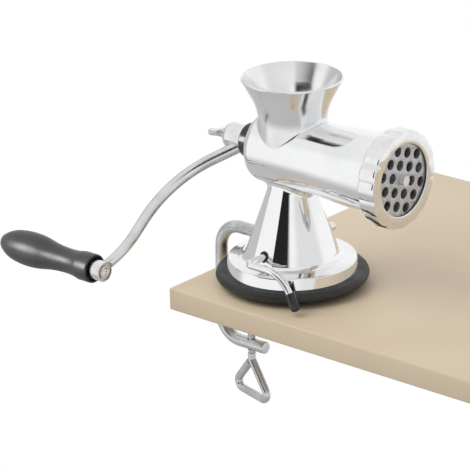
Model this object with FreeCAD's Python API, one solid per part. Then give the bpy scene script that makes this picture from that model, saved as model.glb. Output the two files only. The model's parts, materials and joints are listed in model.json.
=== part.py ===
import FreeCAD, Part
import math
import os

# Hand crank meat grinder on a suction foot, with a table clamp. Millimetres.
# The origin is the middle of the foot on the table. +Z is up, +X is the outlet end of the barrel,
# and -Y is the side with the suction lever.

# General clearances
WELD_GAP = 0.05
RUN_GAP = 0.08
SLIDE_GAP = 0.08
LOOSE_GAP = 0.3

# Base flange and rubber foot
FLANGE_WIDTH = 13.9
FOOT_SEAT_Z = 13.0
FOOT_RIM_R = 4.0
FOOT_RIM_Z = 8.4
FOOT_RIM_OUT = 4.4
FOOT_UNDERCUT = 10.7
FOOT_CONTACT = 7.5
SKIRT_HEIGHT = 9.0
SKIRT_EDGE = 1.5
SKIRT_DRAFT = 1.2
FLANGE_RISE = 1.0
BASE_WALL = 2.4

# Pedestal cone
CONE_FOOT_R = 37.9
CONE_TOP_R = 17.6
CONE_FOOT_FILLET = 4.5
SADDLE_FILLET = 5.0
CAVITY_ROOF = 9.0
FACET_WIDTH = 19.0
FACET_TOP_WIDTH = 11.5

# Rubber cup and its stem. The dish share is the hollow's height at its mid radius over its height inside.
CUP_BOSS_LIP = 1.5
CUP_BOSS_STEP = 1.5
CUP_SKIN = 3.0
CUP_DISH_SHARE = 0.62
STEM_FOOT_R = 13.0
STEM_FOOT_THICK = 2.5
STEM_FOOT_GAP = 0.1
STEM_R = 5.0
YOKE_WALL = 3.0
YOKE_THICK = 7.0
GUIDE_SEAT = 5.6
GUIDE_THICK = 2.0
GUIDE_PAN_R = 20.0
GUIDE_PAN_DEPTH = 5.0

# Suction lever
LEVER_RISE = 8.0
LEVER_R = 2.75
LEVER_OUT = 19.6
LEVER_FAR_OUT = 15.0
LEVER_BEND = 4.0
LEVER_ELBOW = 26.0
LEVER_DROP_X = 12.0
LEVER_END_Z = 6.5
LEVER_CAP_WALL = 0.85
LEVER_CAP_LENGTH = 8.0
LEVER_TIP_WALL = 1.15
LEVER_TIP_LENGTH = 15.0
LEVER_TIP_OVER = 2.6
LEVER_TIP_NOSE = 2.3
LEVER_TIP_CLEAR = 6.9
LEVER_BUSH_WALL = 1.55
LEVER_BUSH_DEPTH = 4.5
CAM_WALL = 2.25
CAM_THROW = 3.0
CAM_ANGLE = 135.0
CAM_WIDTH = 8.0
CAM_GAP = 0.25

# Barrel
AXIS_Z = 108.5
BARREL_R = 28.3
BARREL_WALL = 2.7
BARREL_REAR_X = -30.0
REAR_LEDGE = 1.7
REAR_WALL = 4.0
DOME_EDGE = 9.0
DOME_LEAN = 17.0
FLARE_X = 35.0
MOUTH_X = 94.6
MOUTH_FLARE = 4.0
THREAD_STEP = 1.7
THREAD_LENGTH = 11.4
COLLAR_WALL = 2.92
PLATE_SEAT_DEPTH = 3.4
CHAMBER_LENGTH = 10.0
CHAMBER_STEP = 1.5
KEY_PIN_R = 1.5
KEY_DEPTH = 2.0
KEY_WALL_GAP = 0.5

# Hopper
HOPPER_X = 2.9
HOPPER_NECK_STEP = 1.7
HOPPER_WALL = 1.7
HOPPER_FLARE_R = 45.0
HOPPER_FLARE_DEG = 28.0
HOPPER_SPREAD = 12.7
HOPPER_HEIGHT = 59.1
HOPPER_FILLET = 2.5
THROAT_STEP = 1.9

# Grinding plate, knife and ring nut
PLATE_THICK = 6.0
PLATE_HOLE_R = 4.0
PLATE_PITCH = 12.0
PLATE_RINGS = 2
PLATE_RIM = 0.5
PLATE_TURN_DEG = -19.0
KNIFE_THICK = 4.6
KNIFE_CLEAR = 2.1
KNIFE_BLADES = 4
KNIFE_BLADE_WIDTH = 9.0
KNIFE_BEVEL = 2.25
KNIFE_HUB_WALL = 3.9
NUT_WALL = 4.2
NUT_LENGTH = 15.2
NUT_LIP = 2.0
NUT_OVERLAP = 3.0
NUT_LOBES = 16
NUT_SCALLOP_R = 3.5
NUT_SCALLOP_DEPTH = 1.2
NUT_EDGE = 1.2

# Auger
AUGER_GAP = 0.7
AUGER_SHOULDER = 3.0
AUGER_ROOT_FRONT_R = 14.0
FLIGHT_PITCH = 30.0
FLIGHT_TIP = 3.0
FLIGHT_ROOT = 6.0
TAIL_R = 8.0
TAIL_STEP = 0.2
KNIFE_SQUARE = 10.0
PIN_R = 3.75
PIN_OUT = 4.1

# Rear bush and thrust washer
BUSH_WALL = 3.0
BUSH_LIP = 2.6
BUSH_FLANGE = 12.0
BUSH_SLEEVE = 6.5
THRUST_LIP = 4.0
THRUST_THICK = 1.5

# Crank
HUB_WALL = 2.7
HUB_LENGTH = 21.5
HUB_EDGE = 6.0
HUB_END_WALL = 4.0
HUB_GAP = 0.3
ARM_ANGLE = 40.0
ARM_THICK_R = 4.9
ARM_SLIM_R = 4.0
ARM_ROOT_IN = 8.0
ARM_SWEEP_R = 43.0
ARM_SWEEP_X = 44.0
ARM_RUN_R = 67.0
ARM_RUN_X = 2.0
ARM_END_R = 23.0
ARM_END_X = 11.0
ARM_SWEEP_BEND = 95.0
ARM_END_BEND = 68.0
BOSS_R = 8.0
BOSS_SHOWN = 10.7

# Grip. The turn share is how far from waist to belly the outline turns from hollow to full. The end share
# is how far the blunt end has drawn in where it is about seven tenths of the way along.
GRIP_LENGTH = 97.6
GRIP_COLLAR = 1.5
GRIP_COLLAR_LENGTH = 12.5
GRIP_WAIST_R = 9.75
GRIP_WAIST_AT = 27.0
GRIP_TURN_SHARE = 0.585
GRIP_BELLY_R = 13.8
GRIP_BELLY_TO_END = 29.6
GRIP_SHOULDER_TO_END = 14.6
GRIP_END_WALL = 1.9
GRIP_END_SHARE = 0.58
GRIP_EDGE = 2.5
GRIP_RECESS = 4.3
GRIP_RECESS_GAP = 2.0
SPINDLE_R = 2.5
SPINDLE_HEAD_LIP = 1.4
SPINDLE_HEAD = 1.3
SPINDLE_NUT_WALL = 1.5
SPINDLE_NUT = 5.0
GRIP_END_CLEAR = 13.0
END_CAP_PROUD = 2.0
END_CAP_THICK = 3.0

# Wing screw
WING_THREAD_R = 3.0
WING_THREAD_LENGTH = 16.0
WING_WASHER_LIP = 0.9
WING_WASHER = 1.2
WING_HUB_WALL = 0.9
WING_HUB = 6.0
WING_ROOT = 2.0
WING_SPAN = 14.2
WING_HEIGHT = 9.2
WING_THICK = 5.8
WING_TIP_R = 3.2
WING_TURN_DEG = -17.0

# Table clamp
CLAMP_RISE = 10.0
CLAMP_R = 5.0
CLAMP_CLEAR = 7.5
CLAMP_LEAN = 2.8
CLAMP_ARM_Z = -64.6
CLAMP_TOP_BEND = 20.0
CLAMP_LOW_BEND = 19.0
CLAMP_ARM_OVER = 15.0
CLAMP_IN = 16.0
SOCKET_WALL = 2.5
SCREW_REACH = 28.7
SCREW_R = 3.3
PAD_R = 8.5
PAD_TOP_Z = -18.2
PAD_THICK = 3.5
PAD_HUB_WALL = 1.9
PAD_HUB = 5.0
PAD_SOCKET = 5.5
LOOP_DROP = 8.4
LOOP_HEIGHT = 30.0
LOOP_WIDTH = 52.0
LOOP_BEND = 5.5
LOOP_TURN_DEG = -15.0

# Directions
V = FreeCAD.Vector
X_AXIS = V(1, 0, 0)
Y_AXIS = V(0, 1, 0)
Z_AXIS = V(0, 0, 1)
AXIS = V(0, 0, AXIS_Z)
QUARTER = 1 - math.sqrt(0.5)

# Places and radii that follow: base, cone and foot
FLANGE_R = CONE_FOOT_R + FLANGE_WIDTH
FOOT_CORE_R = FLANGE_R + FOOT_RIM_OUT
FOOT_R = FOOT_CORE_R + FOOT_RIM_R
FLANGE_TOP_Z = FOOT_SEAT_Z + SKIRT_HEIGHT
CEILING_Z = FLANGE_TOP_Z - BASE_WALL
CONE_FOOT_Z = FLANGE_TOP_Z + FLANGE_RISE
CONE_TOP_Z = AXIS_Z - BARREL_R
CONE_SLOPE = (CONE_FOOT_R - CONE_TOP_R) / (CONE_TOP_Z - CONE_FOOT_Z)
FACET_FOOT_Y = math.sqrt(CONE_FOOT_R ** 2 - (FACET_WIDTH / 2) ** 2)
FACET_TOP_Y = math.sqrt(CONE_TOP_R ** 2 - (FACET_TOP_WIDTH / 2) ** 2)
GUIDE_LOW_Z = CEILING_Z - GUIDE_THICK - GUIDE_PAN_DEPTH
CUP_BOSS_TOP = GUIDE_LOW_Z - STEM_FOOT_GAP - STEM_FOOT_THICK
CUP_HOLLOW = CUP_BOSS_TOP - CUP_BOSS_STEP - CUP_SKIN

# Places and radii that follow: barrel, outlet and auger
BORE_R = BARREL_R - BARREL_WALL
DOME_EDGE_R = BARREL_R - DOME_EDGE * (1 - math.sin(math.radians(DOME_LEAN)))
BUSH_SLEEVE_R = TAIL_R + BUSH_WALL
BUSH_FLANGE_R = BUSH_SLEEVE_R + BUSH_LIP
REAR_FACE_R = BUSH_FLANGE_R + REAR_LEDGE
DOME_EDGE_X = BARREL_REAR_X + (DOME_EDGE_R - REAR_FACE_R) * math.tan(math.radians(DOME_LEAN))
DOME_X = DOME_EDGE_X + DOME_EDGE * math.cos(math.radians(DOME_LEAN))
DOME_CORE_R = BARREL_R - DOME_EDGE
MOUTH_R = BARREL_R + MOUTH_FLARE
THREAD_R = MOUTH_R + THREAD_STEP
SEAT_R = THREAD_R - COLLAR_WALL
CHAMBER_R = SEAT_R - CHAMBER_STEP
HOPPER_NECK_R = BARREL_R - HOPPER_NECK_STEP
PLATE_R = SEAT_R - SLIDE_GAP
PLATE_BACK_X = MOUTH_X + THREAD_LENGTH - PLATE_SEAT_DEPTH
PLATE_FRONT_X = PLATE_BACK_X + PLATE_THICK
NUT_R = THREAD_R + NUT_WALL
NUT_OPENING_R = PLATE_R - NUT_OVERLAP
NUT_FRONT_X = PLATE_FRONT_X + NUT_LIP
NUT_BACK_X = NUT_FRONT_X - NUT_LENGTH
KNIFE_REACH = CHAMBER_R - KNIFE_CLEAR
KNIFE_FRONT_X = PLATE_BACK_X - WELD_GAP
KNIFE_BACK_X = KNIFE_FRONT_X - KNIFE_THICK
BUSH_END_X = BARREL_REAR_X - BUSH_FLANGE
BUSH_IN_X = BARREL_REAR_X + BUSH_SLEEVE
AUGER_REAR_X = BUSH_IN_X + WELD_GAP + THRUST_THICK + WELD_GAP
TAIL_SQUARE = (TAIL_R - TAIL_STEP) * math.sqrt(2)

# Places and radii that follow: crank, grip and wing screw
HUB_R = TAIL_R + HUB_WALL
HUB_FRONT_X = BUSH_END_X - HUB_GAP
HUB_REAR_X = HUB_FRONT_X - HUB_LENGTH
TAIL_END_X = HUB_REAR_X + HUB_END_WALL
ARM_ROOT_X = HUB_FRONT_X - ARM_THICK_R
CRANK_R = ARM_ROOT_IN + ARM_SWEEP_R + ARM_RUN_R + ARM_END_R
ARM_OUT = V(0, -math.cos(math.radians(ARM_ANGLE)), -math.sin(math.radians(ARM_ANGLE)))
BOSS_X = ARM_ROOT_X - ARM_SWEEP_X - ARM_RUN_X - ARM_END_X
BOSS_FACE_X = BOSS_X + BOSS_SHOWN / 2
GRIP_AXIS = AXIS + ARM_OUT * CRANK_R
GRIP_FACE_X = BOSS_FACE_X - BOSS_SHOWN
GRIP_END_X = GRIP_FACE_X - GRIP_LENGTH
GRIP_FRONT_R = BOSS_R + GRIP_RECESS_GAP + GRIP_COLLAR
SPINDLE_NUT_R = SPINDLE_R + SPINDLE_NUT_WALL
SPINDLE_END_X = GRIP_END_X + GRIP_END_CLEAR - SPINDLE_NUT
POCKET_R = SPINDLE_NUT_R + LOOSE_GAP
WASHER_REAR_X = HUB_REAR_X - WING_WASHER

# Places and radii that follow: lever and clamp
LEVER_Z = CONE_FOOT_Z + LEVER_RISE
LEVER_BUSH_R = LEVER_R + LEVER_BUSH_WALL
LEVER_TIP_R = LEVER_R + LEVER_TIP_WALL
CAM_R = CAM_THROW + LEVER_R + CAM_WALL
CAM_X = CAM_THROW * math.cos(math.radians(CAM_ANGLE))
CAM_Z = LEVER_Z + CAM_THROW * math.sin(math.radians(CAM_ANGLE))
CLAMP_Z = CONE_FOOT_Z + CLAMP_RISE
CLAMP_LEG_X = -(FOOT_R + CLAMP_CLEAR + CLAMP_R)
SCREW_X = CLAMP_LEG_X + SCREW_REACH
PAD_LOW_Z = PAD_TOP_Z - PAD_THICK - PAD_HUB
LOOP_TOP_Z = CLAMP_ARM_Z - CLAMP_R - LOOP_DROP


def outline(place, start, *steps):
    """A closed face from a start point through lines (two numbers) and arcs (four numbers)."""
    edges = []
    here = place(*start)
    for step in steps + (start,):
        end = place(*step[-2:])
        if end.isEqual(here, 1e-7):
            continue
        if len(step) == 4:
            edges.append(Part.Arc(here, place(*step[:2]), end).toShape())
        else:
            edges.append(Part.makeLine(here, end))
        here = end
    return Part.Face(Part.Wire(edges))


def turned_x(start, *steps, axis=AXIS):
    """A solid turned about an axis along X, from points given as (x, radius)."""
    face = outline(lambda x, r: V(x, axis.y, axis.z + r), start, *steps)
    return face.revolve(axis, X_AXIS, 360)


def turned_z(start, *steps, x=0.0):
    """A solid turned about a vertical axis, from points given as (radius, z)."""
    face = outline(lambda r, z: V(x + r, 0, z), start, *steps)
    return face.revolve(V(x, 0, 0), Z_AXIS, 360)


def bar_x(radius, start, end, axis=AXIS):
    """A round bar along X."""
    low = min(start, end)
    return Part.makeCylinder(radius, abs(end - start), V(low, axis.y, axis.z), X_AXIS)


def square_x(side, start, end, axis=AXIS):
    """A square bar along X."""
    corner = V(min(start, end), axis.y - side / 2, axis.z - side / 2)
    return Part.makeBox(abs(end - start), side, side, corner)


def bent_rod(radius, points, bends, end_radius=None):
    """A round rod along straight runs joined by tangent arcs, tapered where it has an end radius."""
    edges = []
    here = points[0]
    for i, bend in enumerate(bends, start=1):
        corner = points[i]
        back = (points[i - 1] - corner).normalize()
        ahead = (points[i + 1] - corner).normalize()
        half = back.getAngle(ahead) / 2
        reach = bend / math.tan(half)
        middle = corner + (back + ahead).normalize() * (bend / math.sin(half) - bend)
        entry = corner + back * reach
        leave = corner + ahead * reach
        edges.append(Part.makeLine(here, entry))
        edges.append(Part.Arc(entry, middle, leave).toShape())
        here = leave
    edges.append(Part.makeLine(here, points[-1]))
    rings = [Part.Wire(Part.makeCircle(radius, points[0], points[1] - points[0]))]
    if end_radius is not None:
        rings.append(Part.Wire(Part.makeCircle(end_radius, points[-1], points[-1] - points[-2])))
    return Part.Wire(edges).makePipeShell(rings, True, False)


def ring_points(rings, pitch):
    """Places of a hexagonal pattern around a centre hole, as (across, up)."""
    places = []
    for row in range(-rings, rings + 1):
        count = 2 * rings + 1 - abs(row)
        for i in range(count):
            place = ((i - (count - 1) / 2) * pitch, row * pitch * math.sqrt(3) / 2)
            if abs(place[0]) + abs(place[1]) > 1e-6:
                places.append(place)
    return places


def cone_radius(z):
    """The pedestal cone's outside radius at a height."""
    return CONE_FOOT_R - (z - CONE_FOOT_Z) * CONE_SLOPE


def facet_y(z):
    """How far the cone's flat strips stand from the middle at a height."""
    share = (z - CONE_FOOT_Z) / (CONE_TOP_Z - CONE_FOOT_Z)
    return FACET_FOOT_Y + (FACET_TOP_Y - FACET_FOOT_Y) * share


def make_pedestal():
    """Hollow cone with its base flange, saddled to the barrel."""
    edge_mid = SKIRT_EDGE * QUARTER
    skirt_top_r = FLANGE_R - SKIRT_DRAFT
    fillet_z = CONE_FOOT_Z + CONE_FOOT_FILLET
    fillet_top_r = cone_radius(fillet_z)
    fillet_r = CONE_FOOT_R + CONE_FOOT_FILLET
    fillet_mid_r = fillet_top_r + (fillet_r - fillet_top_r) * QUARTER
    solid = turned_z(
        (0, FOOT_SEAT_Z),
        (0, AXIS_Z),
        (cone_radius(AXIS_Z), AXIS_Z),
        (fillet_top_r, fillet_z),
        (fillet_mid_r, CONE_FOOT_Z + CONE_FOOT_FILLET * QUARTER, fillet_r, CONE_FOOT_Z),
        (skirt_top_r - SKIRT_EDGE, FLANGE_TOP_Z),
        (skirt_top_r - edge_mid, FLANGE_TOP_Z - edge_mid, skirt_top_r, FLANGE_TOP_Z - SKIRT_EDGE),
        (FLANGE_R, FOOT_SEAT_Z),
    )

    def off_cone(point):
        return math.hypot(point.x, point.y) - cone_radius(point.z)

    solid = saddled(solid, SADDLE_FILLET, off_cone).cut(facet_cuts())
    return solid.cut(pedestal_cavity()).cut(lever_holes()).cut(clamp_hole())


def pedestal_cavity():
    """The hollow inside the base flange and the cone."""
    skirt_in = FLANGE_R - BASE_WALL
    roof_z = CONE_TOP_Z - CAVITY_ROOF
    return turned_z(
        (0, FOOT_SEAT_Z),
        (skirt_in, FOOT_SEAT_Z),
        (skirt_in, CEILING_Z - SKIRT_EDGE / 2),
        (skirt_in - SKIRT_EDGE / 2, CEILING_Z),
        (cone_radius(CEILING_Z) - BASE_WALL, CEILING_Z),
        (cone_radius(roof_z) - BASE_WALL, roof_z),
        (0, roof_z),
    )


def saddled(solid, fillet, off_wall):
    """A solid filleted to the barrel, and cut by it. off_wall is a point's distance from its wall."""
    outside = dome_steps(WELD_GAP)
    barrel = turned_x((outside[0][0], 0), *outside, (FLARE_X, 0))
    joined = solid.fuse(barrel)
    seam = []
    for edge in joined.Edges:
        point = edge.valueAt((edge.FirstParameter + edge.LastParameter) / 2)
        behind = min(point.x - DOME_X, 0)
        above = math.hypot(point.y, point.z - AXIS_Z) - DOME_CORE_R
        off_barrel = math.hypot(behind, above) - DOME_EDGE - WELD_GAP
        if max(abs(off_wall(point)), abs(off_barrel)) < WELD_GAP:
            seam.append(edge)
    return joined.makeFillet(fillet, seam).cut(barrel)


def facet_cuts():
    """Wedges that leave a flat strip down each lever side of the cone, filleted to the barrel."""
    low_z = CONE_FOOT_Z + CONE_FOOT_FILLET / 2
    lean = math.atan2(FACET_FOOT_Y - FACET_TOP_Y, CONE_TOP_Z - CONE_FOOT_Z)
    fillet_off = facet_y(AXIS_Z) * math.cos(lean) + SADDLE_FILLET
    toward = lean - math.acos(fillet_off / (BARREL_R + SADDLE_FILLET))

    def around(y, z, radius, turn):
        return y + radius * math.cos(turn), z + radius * math.sin(turn)

    middle = around(0, AXIS_Z, BARREL_R + SADDLE_FILLET, toward)
    fillet_mid = around(*middle, -SADDLE_FILLET, (lean + toward) / 2)
    fillet_end = around(0, AXIS_Z, BARREL_R, toward)
    cuts = []
    for side in (-1, 1):
        face = outline(
            lambda y, z: V(-FLANGE_R, side * y, z),
            (facet_y(low_z), low_z),
            around(*middle, -SADDLE_FILLET, lean),
            (*fillet_mid, *fillet_end),
            (*around(0, AXIS_Z, BARREL_R, toward / 2), BARREL_R, AXIS_Z),
            (FLANGE_R, AXIS_Z),
            (FLANGE_R, low_z),
        )
        cuts.append(face.extrude(V(2 * FLANGE_R, 0, 0)))
    return cuts[0].fuse(cuts[1])


def lever_holes():
    """Holes across the pedestal for the lever's bushes."""
    return Part.makeCylinder(LEVER_BUSH_R, 2 * FLANGE_R, V(0, -FLANGE_R, LEVER_Z), Y_AXIS)


def clamp_hole():
    """Hole in the pedestal's rear wall for the clamp rod."""
    return bar_x(CLAMP_R + RUN_GAP, -FLANGE_R, 0, V(0, 0, CLAMP_Z))


def make_clamp_socket():
    """Tube inside the pedestal that takes the clamp rod."""
    axis = V(0, 0, CLAMP_Z)
    tube = bar_x(CLAMP_R + SOCKET_WALL, -CONE_FOOT_R, -CLAMP_IN, axis)
    tube = tube.cut(bar_x(CLAMP_R + RUN_GAP, -FLANGE_R, 0, axis))
    inside = turned_z(
        (0, CEILING_Z),
        (cone_radius(CEILING_Z) - BASE_WALL - WELD_GAP, CEILING_Z),
        (cone_radius(CONE_TOP_Z) - BASE_WALL - WELD_GAP, CONE_TOP_Z),
        (0, CONE_TOP_Z),
    )
    return tube.common(inside)


def make_lever_bushes():
    """Two bushes in the pedestal walls around the lever shaft."""
    bushes = []
    for side in (-1, 1):
        out = Y_AXIS * side
        base = V(0, side * (facet_y(LEVER_Z) - LEVER_BUSH_DEPTH), LEVER_Z)
        bush = Part.makeCylinder(LEVER_BUSH_R - WELD_GAP, LEVER_BUSH_DEPTH, base, out)
        bushes.append(bush.cut(Part.makeCylinder(LEVER_R + RUN_GAP, LEVER_BUSH_DEPTH, base, out)))
    return Part.makeCompound(bushes)


def make_stem_guide():
    """Pan under the base's ceiling that guides the stem, and leaves the yoke room to come down."""
    hole = STEM_R + RUN_GAP
    radius = cone_radius(CEILING_Z) - BASE_WALL + GUIDE_SEAT
    floor_z = GUIDE_LOW_Z + GUIDE_THICK
    return turned_z(
        (hole, GUIDE_LOW_Z),
        (GUIDE_PAN_R, GUIDE_LOW_Z),
        (GUIDE_PAN_R, CEILING_Z - GUIDE_THICK),
        (radius, CEILING_Z - GUIDE_THICK),
        (radius, CEILING_Z),
        (GUIDE_PAN_R - GUIDE_THICK, CEILING_Z),
        (GUIDE_PAN_R - GUIDE_THICK, floor_z),
        (hole, floor_z),
    )


def make_suction_cup():
    """Rubber foot: a tyre-like rim that stands clear of the table, a dished skin and a boss."""
    contact_r = FOOT_CORE_R - FOOT_UNDERCUT
    contact_in = contact_r - FOOT_CONTACT
    slope = math.atan2(FOOT_RIM_Z, FOOT_UNDERCUT)
    slope -= math.asin(FOOT_RIM_R / math.hypot(FOOT_RIM_Z, FOOT_UNDERCUT))
    under = (FOOT_CORE_R + FOOT_RIM_R * math.sin(slope), FOOT_RIM_Z - FOOT_RIM_R * math.cos(slope))
    seat_in = FLANGE_R - 2 * BASE_WALL
    boss_r = STEM_FOOT_R + CUP_BOSS_LIP
    dish_mid = (contact_in + boss_r) / 2
    dish_z = CUP_HOLLOW * CUP_DISH_SHARE
    return turned_z(
        (0, CUP_HOLLOW),
        (boss_r / 2, CUP_HOLLOW),
        (dish_mid, dish_z, contact_in, 0),
        (contact_r, 0),
        under,
        (FOOT_R, FOOT_RIM_Z, FOOT_CORE_R, FOOT_RIM_Z + FOOT_RIM_R),
        (FLANGE_R, FOOT_SEAT_Z),
        (seat_in, FOOT_SEAT_Z),
        (dish_mid, dish_z + CUP_SKIN, boss_r, CUP_HOLLOW + CUP_SKIN),
        (boss_r, CUP_BOSS_TOP),
        (0, CUP_BOSS_TOP),
    )


def make_cup_stem():
    """Stem bonded to the cup, with a window that the eccentric works in."""
    half_w = CAM_R + CAM_THROW + LOOSE_GAP
    low = CAM_Z - CAM_R - CAM_GAP
    high = CAM_Z + CAM_R + CAM_GAP
    foot_top = CUP_BOSS_TOP + STEM_FOOT_THICK
    foot = Part.makeCylinder(STEM_FOOT_R, STEM_FOOT_THICK, V(0, 0, CUP_BOSS_TOP))
    rod = Part.makeCylinder(STEM_R, low - foot_top, V(0, 0, foot_top))
    width = 2 * (half_w + YOKE_WALL)
    corner = V(-width / 2, -YOKE_THICK / 2, low - YOKE_WALL)
    frame = Part.makeBox(width, YOKE_THICK, high - low + 2 * YOKE_WALL, corner)
    window = Part.makeBox(2 * half_w, 2 * YOKE_THICK, high - low, V(-half_w, -YOKE_THICK, low))
    return foot.fuse(rod).fuse(frame).cut(window).removeSplitter()


def lever_route():
    """Corner points of the lever rod, from its far end to its tip, which hangs clear of the foot."""
    near_y = facet_y(LEVER_Z) + LEVER_OUT
    tip_x = math.sqrt((FOOT_R + LEVER_TIP_R + LEVER_TIP_CLEAR) ** 2 - near_y ** 2)
    return [
        V(0, facet_y(LEVER_Z) + LEVER_FAR_OUT, LEVER_Z),
        V(0, -near_y, LEVER_Z),
        V(tip_x - LEVER_DROP_X, -near_y, LEVER_Z),
        V(tip_x, -near_y, LEVER_END_Z),
    ]


def make_lever_rod():
    """Bent rod: a shaft through the pedestal, then the hand lever."""
    return bent_rod(LEVER_R, lever_route(), (LEVER_BEND, LEVER_ELBOW))


def make_lever_tip():
    """Soft sleeve on the lever's end, with a rounded nose."""
    elbow, end = lever_route()[-2:]
    ahead = (end - elbow).normalize()
    base = end - ahead * (LEVER_TIP_LENGTH - LEVER_TIP_OVER)
    body = LEVER_TIP_LENGTH - LEVER_TIP_NOSE
    sleeve = Part.makeCylinder(LEVER_TIP_R, body, base, ahead)
    nose = Part.makeSphere(LEVER_TIP_R, base + ahead * body)
    nose_limit = Part.makeCylinder(LEVER_TIP_R, LEVER_TIP_LENGTH, base, ahead)
    bore = Part.makeCylinder(LEVER_R + WELD_GAP, LEVER_TIP_LENGTH - LEVER_TIP_OVER, base, ahead)
    return sleeve.fuse(nose).common(nose_limit).cut(bore)


def make_lever_end_cap():
    """Rounded cap on the far end of the lever shaft."""
    radius = LEVER_R + LEVER_CAP_WALL
    body = LEVER_CAP_LENGTH - radius
    start = lever_route()[0] - Y_AXIS * body
    cap = Part.makeCylinder(radius, body, start, Y_AXIS)
    cap = cap.fuse(Part.makeSphere(radius, start + Y_AXIS * body))
    return cap.cut(Part.makeCylinder(LEVER_R + WELD_GAP, body, start, Y_AXIS))


def make_lever_cam():
    """Eccentric on the lever shaft, inside the yoke's window."""
    y = -CAM_WIDTH / 2
    disc = Part.makeCylinder(CAM_R, CAM_WIDTH, V(CAM_X, y, CAM_Z), Y_AXIS)
    return disc.cut(Part.makeCylinder(LEVER_R + WELD_GAP, CAM_WIDTH, V(0, y, LEVER_Z), Y_AXIS))


def dome_steps(gap):
    """The barrel's outside from its rear face to its flare, swelled by a gap, as (x, radius) steps."""
    edge = DOME_EDGE + gap
    lean = math.radians(DOME_LEAN)

    def on_edge(turn):
        return (DOME_X - edge * math.cos(turn), DOME_CORE_R + edge * math.sin(turn))

    start = on_edge(lean)
    return [
        (start[0] - (start[1] - REAR_FACE_R) * math.tan(lean), REAR_FACE_R),
        start,
        on_edge((lean + math.pi / 2) / 2) + on_edge(math.pi / 2),
        (FLARE_X, BARREL_R + gap),
    ]


def make_barrel():
    """Barrel with a domed rear end, a flared mouth and a threaded collar."""
    front_x = MOUTH_X + THREAD_LENGTH
    chamber_x = PLATE_BACK_X - CHAMBER_LENGTH
    rear_in_x = BARREL_REAR_X + REAR_WALL
    shell = turned_x(
        (BARREL_REAR_X, BUSH_SLEEVE_R + WELD_GAP),
        *dome_steps(0.0),
        (MOUTH_X, MOUTH_R),
        (MOUTH_X, THREAD_R),
        (front_x, THREAD_R),
        (front_x, SEAT_R),
        (PLATE_BACK_X, SEAT_R),
        (PLATE_BACK_X, CHAMBER_R),
        (chamber_x, CHAMBER_R),
        (FLARE_X, BORE_R),
        (DOME_X, BORE_R),
        (rear_in_x, BORE_R - DOME_EDGE / 2),
        (rear_in_x, BUSH_SLEEVE_R + WELD_GAP),
    )
    throat_r = HOPPER_NECK_R - HOPPER_WALL - THROAT_STEP
    throat = Part.makeCylinder(throat_r, BARREL_R + HOPPER_HEIGHT, V(HOPPER_X, 0, AXIS_Z))
    return shell.cut(throat).cut(key_pin(WELD_GAP, 0.0))


def key_pin(gap, trim):
    """The plate's key pin, standing up across the plate seat's wall."""
    low_z = AXIS_Z + PLATE_R - KEY_DEPTH
    high_z = AXIS_Z + THREAD_R - KEY_WALL_GAP - trim
    x = PLATE_BACK_X + PLATE_SEAT_DEPTH / 2
    return Part.makeCylinder(KEY_PIN_R + gap, high_z - low_z, V(x, 0, low_z))


def make_plate_key_pin():
    """Pin in the barrel's mouth that stops the plate from turning."""
    return key_pin(0.0, WELD_GAP)


def make_hopper():
    """Trumpet funnel with a straight neck, saddled to the barrel."""
    rim_z = AXIS_Z + HOPPER_HEIGHT
    rim_r = HOPPER_NECK_R + HOPPER_SPREAD
    angle = math.radians(HOPPER_FLARE_DEG)
    centre_r = HOPPER_NECK_R + HOPPER_FLARE_R
    end_r = centre_r - HOPPER_FLARE_R * math.cos(angle)
    run_z = (rim_r - end_r) / math.tan(angle)
    flare_z = rim_z - run_z - HOPPER_FLARE_R * math.sin(angle)
    wide_r = HOPPER_FLARE_R + HOPPER_WALL

    def on_flare(radius, share):
        turn = angle * share
        return (centre_r - radius * math.cos(turn), flare_z + radius * math.sin(turn))

    lip_r = rim_r - HOPPER_WALL * math.cos(angle)
    lip_z = rim_z + HOPPER_WALL * math.sin(angle)
    lip_mid = (
        (rim_r + lip_r) / 2 + HOPPER_WALL / 2 * math.sin(angle),
        (rim_z + lip_z) / 2 + HOPPER_WALL / 2 * math.cos(angle),
    )
    funnel = turned_z(
        (HOPPER_NECK_R, AXIS_Z),
        (HOPPER_NECK_R, flare_z),
        on_flare(HOPPER_FLARE_R, 0.5) + on_flare(HOPPER_FLARE_R, 1.0),
        (rim_r, rim_z),
        lip_mid + (lip_r, lip_z),
        on_flare(wide_r, 1.0),
        on_flare(wide_r, 0.5) + on_flare(wide_r, 0.0),
        (HOPPER_NECK_R - HOPPER_WALL, AXIS_Z),
        x=HOPPER_X,
    )

    def off_neck(point):
        return math.hypot(point.x - HOPPER_X, point.y) - HOPPER_NECK_R

    return saddled(funnel, HOPPER_FILLET, off_neck)


def make_rear_bush():
    """Black bush in the barrel's rear wall, with a thick flange outside."""
    bore = TAIL_R + RUN_GAP
    return turned_x(
        (BUSH_END_X, bore),
        (BUSH_END_X, BUSH_FLANGE_R),
        (BARREL_REAR_X, BUSH_FLANGE_R),
        (BARREL_REAR_X, BUSH_SLEEVE_R),
        (BUSH_IN_X, BUSH_SLEEVE_R),
        (BUSH_IN_X, bore),
    )


def make_thrust_washer():
    """Washer between the bush's inner end and the auger's shoulder."""
    start = BUSH_IN_X + WELD_GAP
    ring = bar_x(BUSH_SLEEVE_R + THRUST_LIP, start, start + THRUST_THICK)
    return ring.cut(bar_x(TAIL_R + RUN_GAP, start, start + THRUST_THICK))


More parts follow.
